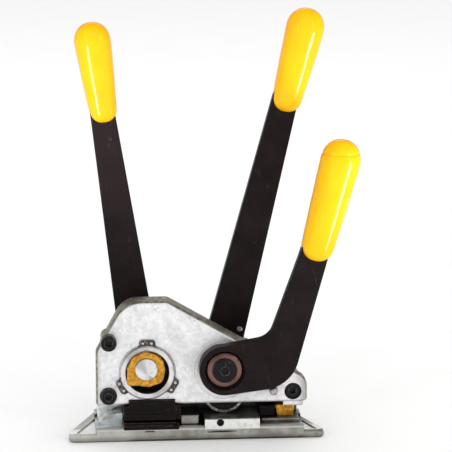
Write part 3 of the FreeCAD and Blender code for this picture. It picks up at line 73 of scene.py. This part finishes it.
# ---- node helpers ------------------------------------------------------------------------------
class Shader:
    """A procedural material; its methods add one node each and return the output socket."""

    def __init__(self, name):
        self.material = bpy.data.materials.new(name)
        self.material.use_nodes = True
        self.tree = self.material.node_tree
        self.tree.nodes.clear()
        self.output = self.add("ShaderNodeOutputMaterial")
        self.surface = self.add("ShaderNodeBsdfPrincipled")
        self.tree.links.new(self.surface.outputs["BSDF"], self.output.inputs["Surface"])
        self.coords = self.add("ShaderNodeTexCoord")
        self.place = self.coords.outputs["Object"]

    def add(self, kind, **settings):
        node = self.tree.nodes.new(kind)
        for key, value in settings.items():
            setattr(node, key, value)
        return node

    def put(self, socket, value):
        """Links another node's output, or sets the socket's own value."""
        if isinstance(value, bpy.types.NodeSocket):
            self.tree.links.new(value, socket)
        elif isinstance(value, (tuple, list)) and len(value) == 3 and socket.type == "RGBA":
            socket.default_value = (*value, 1.0)
        else:
            socket.default_value = value

    def stretched(self, angle_deg, stretch, about=(0, 1, 0)):
        """Object coordinates turned about an axis and then scaled, for grain along a part."""
        turned = self.add("ShaderNodeVectorRotate", rotation_type="AXIS_ANGLE")
        self.put(turned.inputs["Vector"], self.place)
        self.put(turned.inputs["Axis"], about)
        self.put(turned.inputs["Angle"], math.radians(angle_deg))
        scaled = self.add("ShaderNodeVectorMath", operation="MULTIPLY")
        self.put(scaled.inputs[0], turned.outputs["Vector"])
        self.put(scaled.inputs[1], stretch)
        return scaled.outputs["Vector"]

    def noise(self, size_mm, detail=3.0, roughness=0.55, vector=None, distortion=0.0):
        node = self.add("ShaderNodeTexNoise")
        self.put(node.inputs["Vector"], vector or self.place)
        self.put(node.inputs["Scale"], 1.0 / (size_mm * MM))
        self.put(node.inputs["Detail"], detail)
        self.put(node.inputs["Roughness"], roughness)
        self.put(node.inputs["Distortion"], distortion)
        return node.outputs["Fac"]

    def cells(self, size_mm, vector=None, feature="DISTANCE_TO_EDGE"):
        node = self.add("ShaderNodeTexVoronoi", feature=feature)
        self.put(node.inputs["Vector"], vector or self.place)
        self.put(node.inputs["Scale"], 1.0 / (size_mm * MM))
        return node.outputs["Distance"]

    def math(self, operation, a, b=0.0, clamp=False):
        node = self.add("ShaderNodeMath", operation=operation, use_clamp=clamp)
        self.put(node.inputs[0], a)
        self.put(node.inputs[1], b)
        return node.outputs["Value"]

    def span(self, value, low, high, to_low=0.0, to_high=1.0):
        """Smoothly maps low..high of a value to to_low..to_high."""
        node = self.add("ShaderNodeMapRange", interpolation_type="SMOOTHSTEP")
        self.put(node.inputs["Value"], value)
        for name, number in (("From Min", low), ("From Max", high), ("To Min", to_low), ("To Max", to_high)):
            self.put(node.inputs[name], number)
        return node.outputs["Result"]

    def mix(self, factor, a, b):
        node = self.add("ShaderNodeMix", data_type="RGBA")
        self.put(node.inputs["Factor"], factor)
        self.put(node.inputs[6], a)
        self.put(node.inputs[7], b)
        return node.outputs[2]

    def axis(self, vector, index):
        node = self.add("ShaderNodeSeparateXYZ")
        self.put(node.inputs["Vector"], vector)
        return node.outputs[index]

    def edge(self, radius_mm, low=0.03, high=0.25):
        """1 near sharp outer edges, 0 on flats: how far a bevelled normal leaves the true one."""
        bevel = self.add("ShaderNodeBevel", samples=4)
        self.put(bevel.inputs["Radius"], radius_mm * MM)
        geometry = self.add("ShaderNodeNewGeometry")
        dot = self.add("ShaderNodeVectorMath", operation="DOT_PRODUCT")
        self.put(dot.inputs[0], bevel.outputs["Normal"])
        self.put(dot.inputs[1], geometry.outputs["Normal"])
        away = self.math("SUBTRACT", 1.0, dot.outputs["Value"])
        return self.span(away, low, high)

    def soft_edge(self, radius_mm):
        bevel = self.add("ShaderNodeBevel", samples=4)
        self.put(bevel.inputs["Radius"], radius_mm * MM)
        return bevel.outputs["Normal"]

    def bump(self, height, distance_mm, normal=None, strength=1.0):
        node = self.add("ShaderNodeBump")
        self.put(node.inputs["Height"], height)
        self.put(node.inputs["Distance"], distance_mm * MM)
        self.put(node.inputs["Strength"], strength)
        if normal is not None:
            self.put(node.inputs["Normal"], normal)
        return node.outputs["Normal"]

    def near(self, centre, far_mm, close_mm):
        """0 beyond the far radius from a point, 1 within the close one."""
        gap = self.add("ShaderNodeVectorMath", operation="DISTANCE")
        self.put(gap.inputs[0], self.place)
        self.put(gap.inputs[1], centre)
        return self.span(gap.outputs["Value"], far_mm * MM, close_mm * MM)

    def hollow(self, distance_mm, open_share, shut_share):
        """0 where the surface is open to the light, 1 deep in a recess or a seam."""
        node = self.add("ShaderNodeAmbientOcclusion", samples=6)
        self.put(node.inputs["Distance"], distance_mm * MM)
        return self.span(node.outputs["AO"], open_share, shut_share)

    def painted_recess_shade(self, colour, seams=0.75, depths=0.9, shade_colour=(0.016, 0.013, 0.010)):
        """Painted shade: darkens the narrow gaps round fitted parts, patchily, and paints a near black shadow deep
        inside the channel.
        """
        patchy = self.span(self.noise(2.5, 3.0), 0.25, 0.60, 0.45, 1.0)
        # painted shade in the narrow gaps round fitted parts
        seam = self.math("MULTIPLY", self.hollow(1.4, 0.66, 0.36), patchy)
        colour = self.mix(self.math("MULTIPLY", seam, seams), colour, shade_colour)
        # painted shadow: deep recesses of the channel, between x -60 and 90 mm, go near black
        deep = self.hollow(30.0, 0.55, 0.25)
        across = self.axis(self.place, 0)
        inside = self.math("MULTIPLY", self.span(across, -60.0 * MM, -50.0 * MM),
                           self.span(across, 90.0 * MM, 84.0 * MM))
        return self.mix(self.math("MULTIPLY", self.math("MULTIPLY", deep, inside), depths), colour, shade_colour)

    def outward(self, centre):
        """World direction away from an axis along Y, for the brushed sheen of turned faces."""
        moved = self.add("ShaderNodeVectorMath", operation="SUBTRACT")
        self.put(moved.inputs[0], self.place)
        self.put(moved.inputs[1], centre)
        flat = self.add("ShaderNodeVectorMath", operation="MULTIPLY")
        self.put(flat.inputs[0], moved.outputs["Vector"])
        self.put(flat.inputs[1], (1.0, 0.0, 1.0))
        world_way = self.add("ShaderNodeVectorTransform", vector_type="VECTOR", convert_from="OBJECT",
                             convert_to="WORLD")
        self.put(world_way.inputs["Vector"], flat.outputs["Vector"])
        length = self.add("ShaderNodeVectorMath", operation="LENGTH")
        self.put(length.inputs[0], flat.outputs["Vector"])
        return world_way.outputs["Vector"], length.outputs["Value"]

    def finish(self, **inputs):
        for name, value in inputs.items():
            self.put(self.surface.inputs[name.replace("_", " ")], value)
        return self.material


def scratches(s, spacing_mm, length_ratio, angle_deg, width=0.02):
    """Sparse thin scratches in one direction: a stretched cell pattern, kept only in patches."""
    vector = s.stretched(angle_deg, (1.0, 1.0, 1.0 / length_ratio))
    line = s.span(s.cells(spacing_mm, vector), width, 0.0)
    patch = s.span(s.noise(9.0, 2.0), 0.52, 0.66)
    return s.math("MULTIPLY", line, patch)


# ---- materials -----------------------------------------------------------------------------------
def cast_aluminium():
    """Bright tumbled casting: mottled face, greener and darker on the rounded sides, with nicks, and painted shade
    on both ends.
    """
    s = Shader("cast_aluminium")
    mottle = s.noise(5.0, 8.0, 0.72)
    fine = s.noise(1.2, 4.0, 0.6)
    upward = s.axis(s.coords.outputs["Normal"], 2)
    face = s.span(s.math("ABSOLUTE", s.axis(s.coords.outputs["Normal"], 1)), 0.74, 0.95)
    face = s.math("MAXIMUM", face, s.span(upward, -0.2, -0.5, 0.0, 0.9))
    bright = s.mix(s.span(mottle, 0.34, 0.62), (0.80, 0.80, 0.81), (0.99, 0.99, 1.0))
    streaks = s.noise(10.0, 5.0, 0.6, s.stretched(35.0, (1.0, 1.0, 0.35)))
    rubbed = s.near((-12.0 * MM, -26.0 * MM, 66.0 * MM), 34.0, 8.0)
    share = s.math("ADD", s.math("MULTIPLY", rubbed, 0.12), 0.20)
    duller = s.math("MULTIPLY", s.span(streaks, 0.40, 0.66), share)
    bright = s.mix(duller, bright, (0.56, 0.53, 0.51))
    bright = s.mix(s.span(fine, 0.58, 0.80, 0.0, 0.30), bright, (0.42, 0.42, 0.42))
    # painted shade: the casting darkens towards both rounded ends, the right end more
    ends = s.math("MAXIMUM", s.span(s.axis(s.place, 0), 80.0 * MM, 87.0 * MM, 0.0, 0.62),
                  s.span(s.axis(s.place, 0), -75.0 * MM, -80.0 * MM, 0.0, 0.40))
    bright = s.mix(ends, bright, (0.30, 0.29, 0.27))
    side = s.mix(s.span(s.noise(4.0, 5.0), 0.35, 0.7), (0.20, 0.18, 0.135), (0.44, 0.42, 0.36))
    colour = s.mix(face, side, bright)
    rub = s.math("MULTIPLY", s.edge(0.8), s.span(s.noise(3.0, 4.0), 0.42, 0.60))
    colour = s.mix(s.math("MULTIPLY", rub, 0.6), colour, (0.16, 0.15, 0.12))
    marks = s.math("MAXIMUM", scratches(s, 5.0, 9.0, 25.0, 0.016), scratches(s, 6.0, 8.0, -52.0, 0.014))
    nicks = s.span(s.cells(7.5, feature="F1"), 0.11, 0.05)
    nicks = s.math("MULTIPLY", nicks, s.span(s.noise(15.0, 2.0), 0.46, 0.60))
    marks = s.math("MAXIMUM", marks, nicks)
    # painted shade in gaps and deep recesses of the casting
    colour = s.painted_recess_shade(s.mix(s.math("MULTIPLY", marks, 0.55), colour, (0.24, 0.23, 0.22)))
    grain = s.math("MULTIPLY", s.noise(0.9, 3.0), 0.5)
    grain = s.math("ADD", grain, s.math("MULTIPLY", s.noise(4.0, 3.0), 0.8))
    height = s.math("SUBTRACT", grain, s.math("MULTIPLY", marks, 0.8))
    return s.finish(Base_Color=colour, Metallic=0.75, Roughness=s.span(fine, 0.3, 0.7, 0.40, 0.56),
                    Normal=s.bump(height, 0.13, s.soft_edge(0.5)))


def zinc_steel():
    """Zinc plated base: satin warm grey with faint tints, bare where the strap has polished it; its front rim has
    painted shade low down and a painted highlight along its top.
    """
    s = Shader("zinc_steel")
    tint = s.noise(14.0, 4.0)
    colour = s.mix(s.span(tint, 0.38, 0.62), (0.30, 0.285, 0.25), (0.50, 0.485, 0.44))
    colour = s.mix(s.span(s.noise(8.0, 2.0), 0.54, 0.68, 0.0, 0.5), colour, (0.30, 0.40, 0.36))
    colour = s.mix(s.span(s.noise(6.0, 2.0, vector=s.stretched(0.0, (1.0, 1.3, 0.8))), 0.60, 0.72, 0.0, 0.35),
                   colour, (0.44, 0.33, 0.31))
    colour = s.mix(s.span(s.axis(s.place, 0), 0.0, -70.0 * MM, 0.0, 0.45), colour, (0.74, 0.74, 0.69))
    shade = s.span(s.axis(s.place, 2), 6.0 * MM, 2.0 * MM, 0.0, 0.5)
    colour = s.mix(shade, colour, (0.13, 0.12, 0.10))
    up = s.span(s.axis(s.coords.outputs["Normal"], 2), 0.90, 0.985)
    low = s.span(s.axis(s.place, 2), 7.3 * MM, 6.9 * MM)
    inner = s.span(s.axis(s.place, 1), -26.6 * MM, -26.0 * MM)
    low = s.math("MULTIPLY", low, inner)
    polished = s.math("MULTIPLY", s.math("MULTIPLY", up, low), s.span(s.noise(7.0, 4.0), 0.20, 0.40))
    colour = s.mix(polished, colour, (1.0, 1.0, 0.98))
    brush = s.noise(0.7, 4.0, 0.65, s.stretched(0.0, (0.06, 1.0, 1.0)))
    marks = scratches(s, 4.5, 10.0, 80.0, 0.02)
    colour = s.mix(s.math("MULTIPLY", marks, 0.5), colour, (0.12, 0.115, 0.10))
    colour = s.mix(s.math("MULTIPLY", s.edge(0.7), 0.55), colour, (0.72, 0.72, 0.68))
    ramp = s.near((-72.0 * MM, -8.0 * MM, 18.0 * MM), 24.0, 12.0)
    ramp = s.math("MULTIPLY", ramp, s.span(s.noise(5.0, 4.0), 0.36, 0.58))
    colour = s.mix(ramp, colour, (0.86, 0.93, 0.95))
    # painted highlight along the rounded top of the front rim
    crown_highlight = s.math("MULTIPLY", s.span(s.axis(s.place, 2), 8.4 * MM, 9.4 * MM),
                   s.span(s.axis(s.place, 1), -24.0 * MM, -26.0 * MM))
    colour = s.mix(s.math("MULTIPLY", crown_highlight, 0.6), colour, (0.80, 0.80, 0.77))
    height = s.math("ADD", s.math("MULTIPLY", brush, 0.5), s.math("MULTIPLY", s.noise(2.2, 3.0), 0.7))
    # painted shade in gaps and deep recesses of the base
    return s.finish(Base_Color=s.painted_recess_shade(colour, 0.8, 0.96), Metallic=0.85,
                    Roughness=s.span(brush, 0.3, 0.7, 0.32, 0.48),
                    Normal=s.bump(s.math("SUBTRACT", height, marks), 0.08, s.soft_edge(0.5)))


def bright_steel(name, colour, angle_deg, rough_low, rough_high):
    """Ground steel, with fine grinding lines in one direction and light stains."""
    s = Shader(name)
    lines = s.noise(0.35, 3.0, 0.6, s.stretched(angle_deg, (1.0, 1.0, 0.04)))
    stain = s.span(s.noise(5.0, 5.0), 0.45, 0.75, 0.0, 0.5)
    tone = s.mix(stain, colour, tuple(c * 0.5 for c in colour))
    tone = s.mix(s.math("MULTIPLY", s.edge(0.4), 0.6), tone, (0.92, 0.92, 0.90))
    # painted shade in gaps and deep recesses
    return s.finish(Base_Color=s.painted_recess_shade(tone, 0.7, 0.8), Metallic=1.0,
                    Roughness=s.span(lines, 0.3, 0.7, rough_low, rough_high),
                    Normal=s.bump(lines, 0.025, s.soft_edge(0.3)))


def turned_steel(name, centre, colour, rough=0.30, shine=0.75, groove_mm=0.8, dark=0.5, beyond=None,
                 lit=(0.26, 0.22, 0.21)):
    """Lathe-turned metal: rings about an axis along Y, with the sheen that such rings give, and a painted bow-tie
    sheen in its colour.
    """
    s = Shader(name)
    away, radius = s.outward(centre)
    wobble = s.math("MULTIPLY", s.noise(2.0, 2.0), 0.25 * MM)
    phase = s.math("MULTIPLY", s.math("ADD", radius, wobble), 2.0 * math.pi / (groove_mm * MM))
    rings = s.math("SINE", phase)
    stain = s.span(s.noise(3.5, 4.0), 0.5, 0.8, 0.0, 0.5)
    tone = s.mix(stain, colour, tuple(c * dark for c in colour))
    flat = s.add("ShaderNodeVectorMath", operation="NORMALIZE")
    s.put(flat.inputs[0], away)
    # painted sheen: light and dark sectors about the axis, the bow-tie highlight of a turned face
    bow_tie_sheen = s.math("ABSOLUTE", s.math("ADD", s.math("MULTIPLY", s.axis(flat.outputs["Vector"], 0), 0.80),
                                      s.math("MULTIPLY", s.axis(flat.outputs["Vector"], 2), 0.60)))
    tone = s.mix(s.span(bow_tie_sheen, 0.15, 0.60, 0.55, 0.0), tone, tuple(c * 0.40 for c in colour))
    tone = s.mix(s.math("MULTIPLY", s.edge(0.35), 0.6), tone, tuple(min(1.0, c * 1.4) for c in colour))
    # beyond a radius, spots of another tone: the window ring's lugs get their own darker colour, and the feed
    # wheel gets a painted highlight along its rim
    if beyond is not None:
        rim_tone_and_highlight = s.mix(s.span(s.noise(1.6, 3.0), 0.45, 0.65), tuple(c * 0.2 for c in lit), lit)
        tone = s.mix(s.span(radius, beyond * MM, (beyond + 0.4) * MM), tone, rim_tone_and_highlight)
    # painted shade in gaps and deep recesses
    return s.finish(Base_Color=s.painted_recess_shade(tone, 0.7, 0.7), Metallic=1.0, Roughness=rough, Anisotropic=shine,
                    Tangent=away, Normal=s.bump(rings, 0.010, s.soft_edge(0.3)))


def dark_steel(name, colour, worn_colour, worn=0.6, rough=0.42, grain_angle=0.0, cloud_mm=20.0, gloss=0.12,
               handled=None):
    """Blackened steel: brown-black, a little uneven, rubbed bright in places along its edges."""
    s = Shader(name)
    cloud = s.noise(cloud_mm, 5.0, 0.6)
    grain = s.noise(0.8, 4.0, 0.65, s.stretched(grain_angle, (1.0, 1.0, 0.15)))
    tone = s.mix(s.span(cloud, 0.35, 0.70), colour, tuple(c * 1.8 for c in colour))
    tone = s.mix(s.span(grain, 0.50, 0.75, 0.0, 0.35), tone, tuple(c * 2.4 for c in colour))
    if handled is not None:
        tone = s.mix(s.span(s.axis(s.place, 2), handled - 4 * MM, handled + 4 * MM, 0.0, 0.5), tone,
                     tuple(c * 2.6 for c in colour))
    rubbed = s.math("MULTIPLY", s.edge(0.5), s.span(s.noise(4.0, 4.0), 0.30, 0.62))
    tone = s.mix(s.math("MULTIPLY", rubbed, worn), tone, worn_colour)
    marks = scratches(s, 7.0, 12.0, grain_angle + 12.0, 0.012)
    tone = s.mix(s.math("MULTIPLY", marks, 0.2), tone, worn_colour)
    height = s.math("SUBTRACT", grain, marks)
    return s.finish(Base_Color=tone, Roughness=s.span(grain, 0.3, 0.7, rough - 0.06, rough + 0.10),
                    Specular_IOR_Level=gloss, Normal=s.bump(height, 0.05, s.soft_edge(0.4)))


def copper(name, colour, dark, rough):
    """Bronze: cloudy, rubbed brighter along its edges, with painted shade in dark brown in its corners and
    recesses.
    """
    s = Shader(name)
    cloud = s.noise(3.0, 5.0, 0.65)
    tone = s.mix(s.span(cloud, 0.35, 0.65), colour, dark)
    tone = s.mix(s.math("MULTIPLY", s.edge(0.5), 0.6), tone, tuple(min(1.0, c * 1.6) for c in colour))
    # painted shade: dark brown in corners and recesses
    tone = s.mix(s.math("MULTIPLY", s.hollow(2.5, 0.60, 0.30), 0.85), tone, (0.06, 0.028, 0.010))
    return s.finish(Base_Color=tone, Metallic=0.9, Roughness=s.span(cloud, 0.3, 0.7, rough, rough + 0.14),
                    Normal=s.bump(s.noise(0.9, 4.0), 0.05, s.soft_edge(0.4)))


def vinyl():
    """Dipped yellow vinyl: glossy, with painted shade deepening it to orange towards the sides and darkening its
    crease, a faint ripple, specks and fine scuffs.
    """
    s = Shader("grip_vinyl")
    tone = s.mix(s.span(s.noise(22.0, 3.0), 0.35, 0.65), (0.93, 0.475, 0.0), (0.94, 0.510, 0.0))
    # painted shade: surfaces facing sideways turn a deeper orange
    flank_shade = s.span(s.math("ABSOLUTE", s.axis(s.coords.outputs["Normal"], 1)), 0.62, 0.12)
    tone = s.mix(s.math("MULTIPLY", flank_shade, 0.7), tone, (0.80, 0.34, 0.0))
    specks = s.span(s.cells(11.0, feature="F1"), 0.045, 0.02)
    scuff = s.math("MULTIPLY", scratches(s, 9.0, 6.0, 20.0, 0.010), 0.7)
    soil = s.math("MAXIMUM", s.math("MULTIPLY", specks, 0.5), scuff)
    tone = s.mix(soil, tone, (0.42, 0.25, 0.01))
    # painted shade: darker in the crease and where the grip nears other parts
    crease = s.hollow(1.2, 0.80, 0.55)
    tone = s.mix(s.math("MULTIPLY", crease, 0.8), tone, (0.30, 0.17, 0.0))
    ripple = s.math("ADD", s.noise(9.0, 2.0), s.math("MULTIPLY", s.noise(1.1, 2.0), 0.06))
    return s.finish(Base_Color=tone, Roughness=s.span(s.noise(3.0, 3.0), 0.3, 0.7, 0.15, 0.22),
                    Specular_IOR_Level=0.26, Normal=s.bump(s.math("SUBTRACT", ripple, soil), 0.12))


seal, pivot = pivots["sealing_pivot"], pivots["tension_pivot"]
HANDLE_BLACK = (0.0075, 0.0038, 0.0042)
WORN_STEEL = (0.16, 0.14, 0.14)
by_slot = {
    "cast_aluminium": cast_aluminium(),
    "zinc_steel": zinc_steel(),
    "ground_steel": bright_steel("ground_steel", (0.95, 0.96, 0.92), 90.0, 0.26, 0.44),
    "turned_steel": turned_steel("turned_steel", pivot, (0.72, 0.72, 0.71)),
    "die_steel": dark_steel("die_steel", (0.0030, 0.0017, 0.0014), (0.30, 0.20, 0.17),
                            worn=0.8, rough=0.30, grain_angle=90.0, cloud_mm=8.0, gloss=0.12),
    "black_steel": dark_steel("black_steel", (0.0010, 0.0008, 0.0008), (0.55, 0.52, 0.50),
                              worn=0.85, rough=0.20, grain_angle=0.0, cloud_mm=6.0, gloss=0.22),
    "handle_steel": dark_steel("handle_steel", HANDLE_BLACK, WORN_STEEL),
    "copper_washer": turned_steel("copper_washer", pivot, (0.21, 0.115, 0.095), 0.24, 0.85, 1.1, 0.30),
    "spring_steel": bright_steel("spring_steel", (0.30, 0.30, 0.31), 0.0, 0.30, 0.40),
    "bronze": copper("bronze", (0.80, 0.40, 0.055), (0.42, 0.19, 0.022), 0.26),
    "grip_vinyl": vinyl(),
}
for part in frame["record"]["subparts"]:
    data = nodes[part["node"]].data
    data.materials.clear()
    data.materials.append(by_slot[part["material_slot"]])

BRIGHT = (0.80, 0.79, 0.79)
turned_about = {
    "eccentric_shaft": seal, "sealing_washer": seal, "window_ring": seal, "hub_ring": pivot,
}
for name, centre in turned_about.items():
    lugs_from = 21.6 if name == "window_ring" else None
    nodes[name].data.materials[0] = turned_steel("turned_" + name, centre, BRIGHT, beyond=lugs_from)
wheel_low, wheel_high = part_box("feed_wheel")
# the feed wheel's bright rim beyond 14.6 mm (lit) is a painted highlight
nodes["feed_wheel"].data.materials[0] = turned_steel(
    "feed_wheel_steel", (wheel_low + wheel_high) / 2.0, (0.020, 0.017, 0.016),
    beyond=14.6, lit=(0.75, 0.74, 0.72))
nodes["stop_pin"].data.materials[0] = turned_steel(
    "turned_stop_pin", sum(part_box("stop_pin"), Vector()) / 2.0, (0.50, 0.49, 0.48), 0.34, 0.6)
nodes["shear_block"].data.materials[0] = bright_steel(
    "shear_block_steel", (0.34, 0.34, 0.31), 90.0, 0.28, 0.44)
nodes["sealing_handle"].data.materials[0] = dark_steel(
    "handle_steel_worn", HANDLE_BLACK, WORN_STEEL, handled=0.175)


# ---- dipped grips ----------------------------------------------------------------------------------
SQUARENESS = 2.0 / 2.35     # exponent of the grips' cross section: 1 is an ellipse, less is squarer
GRIP_FLATNESS = 0.86        # depth over width of a grip
CREASE_REACH = 11.0 * MM    # how far along the grip the crease's tilt fades out


def dipped_grip(name, body, foot, lean_deg, length, low_radius, top_radius, y_middle, seam=None):
    """Vinyl skin over a flat bar: swells upwards, flatter front and back, domed at both ends."""
    foot_height = 0.92 * low_radius
    flank_top = length - top_radius * 1.05
    rows = []
    for i in range(1, 10):
        angle = math.radians(10.0 * i)
        rows.append((foot_height * (1.0 - math.cos(angle)), low_radius * math.sin(angle) ** 0.92))
    first = foot_height
    for i in range(1, 19):
        t = i / 18.0
        height = first + (flank_top - first) * t
        swell = low_radius + (top_radius - low_radius) * (1.32 * t - 0.32 * t * t)
        rows.append((height, swell))
    for i in range(1, 10):
        angle = math.radians(10.0 * i)
        height = flank_top + (length - flank_top) * math.sin(angle)
        rows.append((height, top_radius * math.cos(angle) ** 0.94))
    if seam is not None:
        rows = [row for row in rows if abs(row[0] - seam) > 1.6 * MM]
        radius = top_radius * math.sqrt(max(0.0, 1.0 - ((seam - flank_top) / (length - flank_top)) ** 2))
        rows += [(seam - 0.7 * MM, radius), (seam - 0.25 * MM, radius - 0.9 * MM),
                 (seam + 0.25 * MM, radius - 0.9 * MM), (seam + 0.7 * MM, radius - 0.3 * MM)]
        rows.sort()

    def dome(height):
        """Share of the top radius that is left at a height in the domed end."""
        over = max(0.0, height - flank_top) / (length - flank_top)
        return math.sqrt(max(0.05, 1.0 - over * over))

    sides = 48
    mesh = bmesh.new()
    rings = []
    for height, radius in rows:
        ring = []
        for k in range(sides):
            angle = 2.0 * math.pi * k / sides
            c, d = math.cos(angle), math.sin(angle)
            x = radius * math.copysign(abs(c) ** SQUARENESS, c)
            y = GRIP_FLATNESS * radius * math.copysign(abs(d) ** SQUARENESS, d)
            dent = 1.0 + 0.006 * math.sin(3.0 * angle + height * 90.0) * math.sin(height * 210.0)
            level = 0.0
            if seam is not None:   # the crease lies level, although the grip leans
                fade = max(0.0, 1.0 - abs(height - seam) / CREASE_REACH)
                level = x * math.tan(math.radians(-lean_deg)) * fade
                dent *= dome(height + level) / dome(height)
            ring.append(mesh.verts.new((x * dent, y * dent, height + level)))
        rings.append(ring)
    for lower, upper in zip(rings, rings[1:]):
        for k in range(sides):
            mesh.faces.new((lower[k], lower[(k + 1) % sides], upper[(k + 1) % sides], upper[k]))
    tip = mesh.verts.new((0.0, 0.0, length))
    root = mesh.verts.new((0.0, 0.0, rows[0][0]))
    for k in range(sides):
        mesh.faces.new((rings[-1][k], rings[-1][(k + 1) % sides], tip))
        mesh.faces.new((rings[0][(k + 1) % sides], rings[0][k], root))
    lean = Matrix.Translation((foot[0], y_middle, foot[1])) @ Matrix.Rotation(math.radians(-lean_deg), 4, "Y")
    mesh.transform(lean)
    data = bpy.data.meshes.new(name)
    mesh.to_mesh(data)
    mesh.free()
    data.shade_smooth()
    data.materials.append(by_slot["grip_vinyl"])
    grip = bpy.data.objects.new(name, data)
    bpy.context.scene.collection.objects.link(grip)
    smooth = grip.modifiers.new("smooth", "SUBSURF")
    smooth.levels = smooth.render_levels = 1
    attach(grip, body)
    return grip


def along_bar(joint, lean_deg, along, across):
    """Point on a bar that leans from upright, in x and z: along it from its pivot, then across it."""
    lean = math.radians(lean_deg)
    start = pivots[joint]
    return (start.x - along * math.sin(lean) + across * math.cos(lean),
            start.z + along * math.cos(lean) + across * math.sin(lean))


def middle_y(node):
    low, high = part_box(node)
    return (low.y + high.y) / 2.0


GRIPS = [   # CAD grip, body, foot, lean, length, radius at the foot, radius at the top, seam height
    ("sealing_grip", "sealing_handle", along_bar("sealing_pivot", 8.2, 0.1965, -0.0021), 8.2,
     0.0825, 0.0112, 0.0148, None),
    ("tension_grip", "tension_handle", along_bar("tension_pivot", -14.0, 0.2045, 0.0034), -14.0,
     0.0864, 0.0120, 0.0155, None),
    ("release_grip", "release_lever", (0.0929, 0.1488), -14.4, 0.1010, 0.0132, 0.0161, 0.0900),
]
for node, body, foot, lean, length, low_radius, top_radius, seam in GRIPS:
    grip = dipped_grip(node + "_skin", body, foot, lean, length, low_radius, top_radius, middle_y(node), seam)
    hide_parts(node)


# The return spring is drawn by a copy of its mesh, attached to the root; nothing here shortens it as the release
# lever lifts the carrier under it. At the lever's limit it is left shorter than its four turns of wire would
# really allow (0.56 of its length).
coil = bpy.data.objects.new("lever_spring_coil", nodes["lever_spring"].data.copy())
coil.matrix_world = nodes["lever_spring"].matrix_world.copy()
bpy.context.scene.collection.objects.link(coil)
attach(coil, "root")
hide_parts("lever_spring")
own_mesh(coil)


# ---- floor, light and camera -----------------------------------------------------------------------
def plane(name, size, location):
    mesh = bpy.data.meshes.new(name)
    half = size / 2.0
    corners = [(-half, -half, 0), (half, -half, 0), (half, half, 0), (-half, half, 0)]
    mesh.from_pydata(corners, [], [(0, 1, 2, 3)])
    thing = bpy.data.objects.new(name, mesh)
    thing.location = location
    bpy.context.scene.collection.objects.link(thing)
    return thing


floor = plane("floor", 30.0, (0, 0, 0))
paper = Shader("paper_floor")
floor.data.materials.append(paper.finish(
    Base_Color=paper.mix(paper.noise(60.0, 2.0), (0.90, 0.90, 0.90), (0.93, 0.93, 0.93)), Roughness=0.9))

world = bpy.data.worlds.new("studio")
world.use_nodes = True
sky = world.node_tree
lit = sky.nodes["Background"]
even = sky.nodes.new("ShaderNodeBackground")
even.inputs["Strength"].default_value = 1.0
direction = sky.nodes.new("ShaderNodeTexCoord")
height = sky.nodes.new("ShaderNodeSeparateXYZ")
fade = sky.nodes.new("ShaderNodeValToRGB")
fade.color_ramp.elements[0].position, fade.color_ramp.elements[0].color = 0.0, (0.62, 0.62, 0.62, 1.0)
fade.color_ramp.elements[1].position, fade.color_ramp.elements[1].color = 0.75, (0.20, 0.20, 0.21, 1.0)
path = sky.nodes.new("ShaderNodeLightPath")
choose = sky.nodes.new("ShaderNodeMixShader")
world_links = (
    (direction.outputs["Generated"], height.inputs["Vector"]),
    (height.outputs["Z"], fade.inputs["Fac"]),
    (fade.outputs["Color"], lit.inputs["Color"]),
    (path.outputs["Is Glossy Ray"], choose.inputs["Fac"]),
    (even.outputs["Background"], choose.inputs[1]),
    (lit.outputs["Background"], choose.inputs[2]),
    (choose.outputs["Shader"], sky.nodes["World Output"].inputs["Surface"]),
)
for source, target in world_links:
    sky.links.new(source, target)
even.inputs["Color"].default_value = (1.0, 1.0, 1.0, 1.0)
bpy.context.scene.world = world
bpy.context.scene.view_settings.view_transform = "Standard"


def softbox(name, location, target, size, power, spread_deg=180.0):
    light = bpy.data.lights.new(name, "AREA")
    light.shape = "RECTANGLE"
    light.size, light.size_y = size
    light.energy = power
    light.spread = math.radians(spread_deg)
    thing = bpy.data.objects.new(name, light)
    thing.location = location
    thing.rotation_euler = (Vector(target) - Vector(location)).to_track_quat("-Z", "Y").to_euler()
    bpy.context.scene.collection.objects.link(thing)
    return thing


middle = Vector(((cad_box[0][0] + cad_box[1][0]) / 2, 0.0, (cad_box[0][2] + cad_box[1][2]) / 2))
softbox("right_light", (0.90, -1.30, 0.80), middle, (0.25, 1.0), 2.4)
softbox("left_light", (-0.80, -1.30, 0.80), middle, (0.25, 1.0), 2.2)
softbox("front_light", (0.1, -1.9, 1.9), middle, (1.2, 0.5), 3.4)
softbox("back_light", (0.0, 1.6, 1.4), middle, (1.2, 0.6), 4.0)
# two slim tubes low beside the tool, aimed up at the grips, give their long highlights
softbox("right_tube", (0.335, -0.32, 0.100), (0.12, 0.0, 0.245), (0.028, 0.20), 0.075, 34.0)
softbox("left_tube", (-0.225, -0.345, 0.115), (-0.075, 0.0, 0.290), (0.028, 0.16), 0.048, 34.0)

AZIMUTH, ELEVATION, DISTANCE = math.radians(-4.5), math.radians(13.0), 2.5
AIM = Vector((0.0257, 0.0, 0.1701))
toward = Vector((math.sin(AZIMUTH) * math.cos(ELEVATION), -math.cos(AZIMUTH) * math.cos(ELEVATION),
                 math.sin(ELEVATION)))
lens = bpy.data.cameras.new("camera")
lens.lens, lens.sensor_width = 247.7, 36.0
camera = bpy.data.objects.new("camera", lens)
camera.location = AIM + DISTANCE * toward
camera.rotation_euler = (-toward).to_track_quat("-Z", "Y").to_euler()
bpy.context.scene.collection.objects.link(camera)
bpy.context.scene.camera = camera
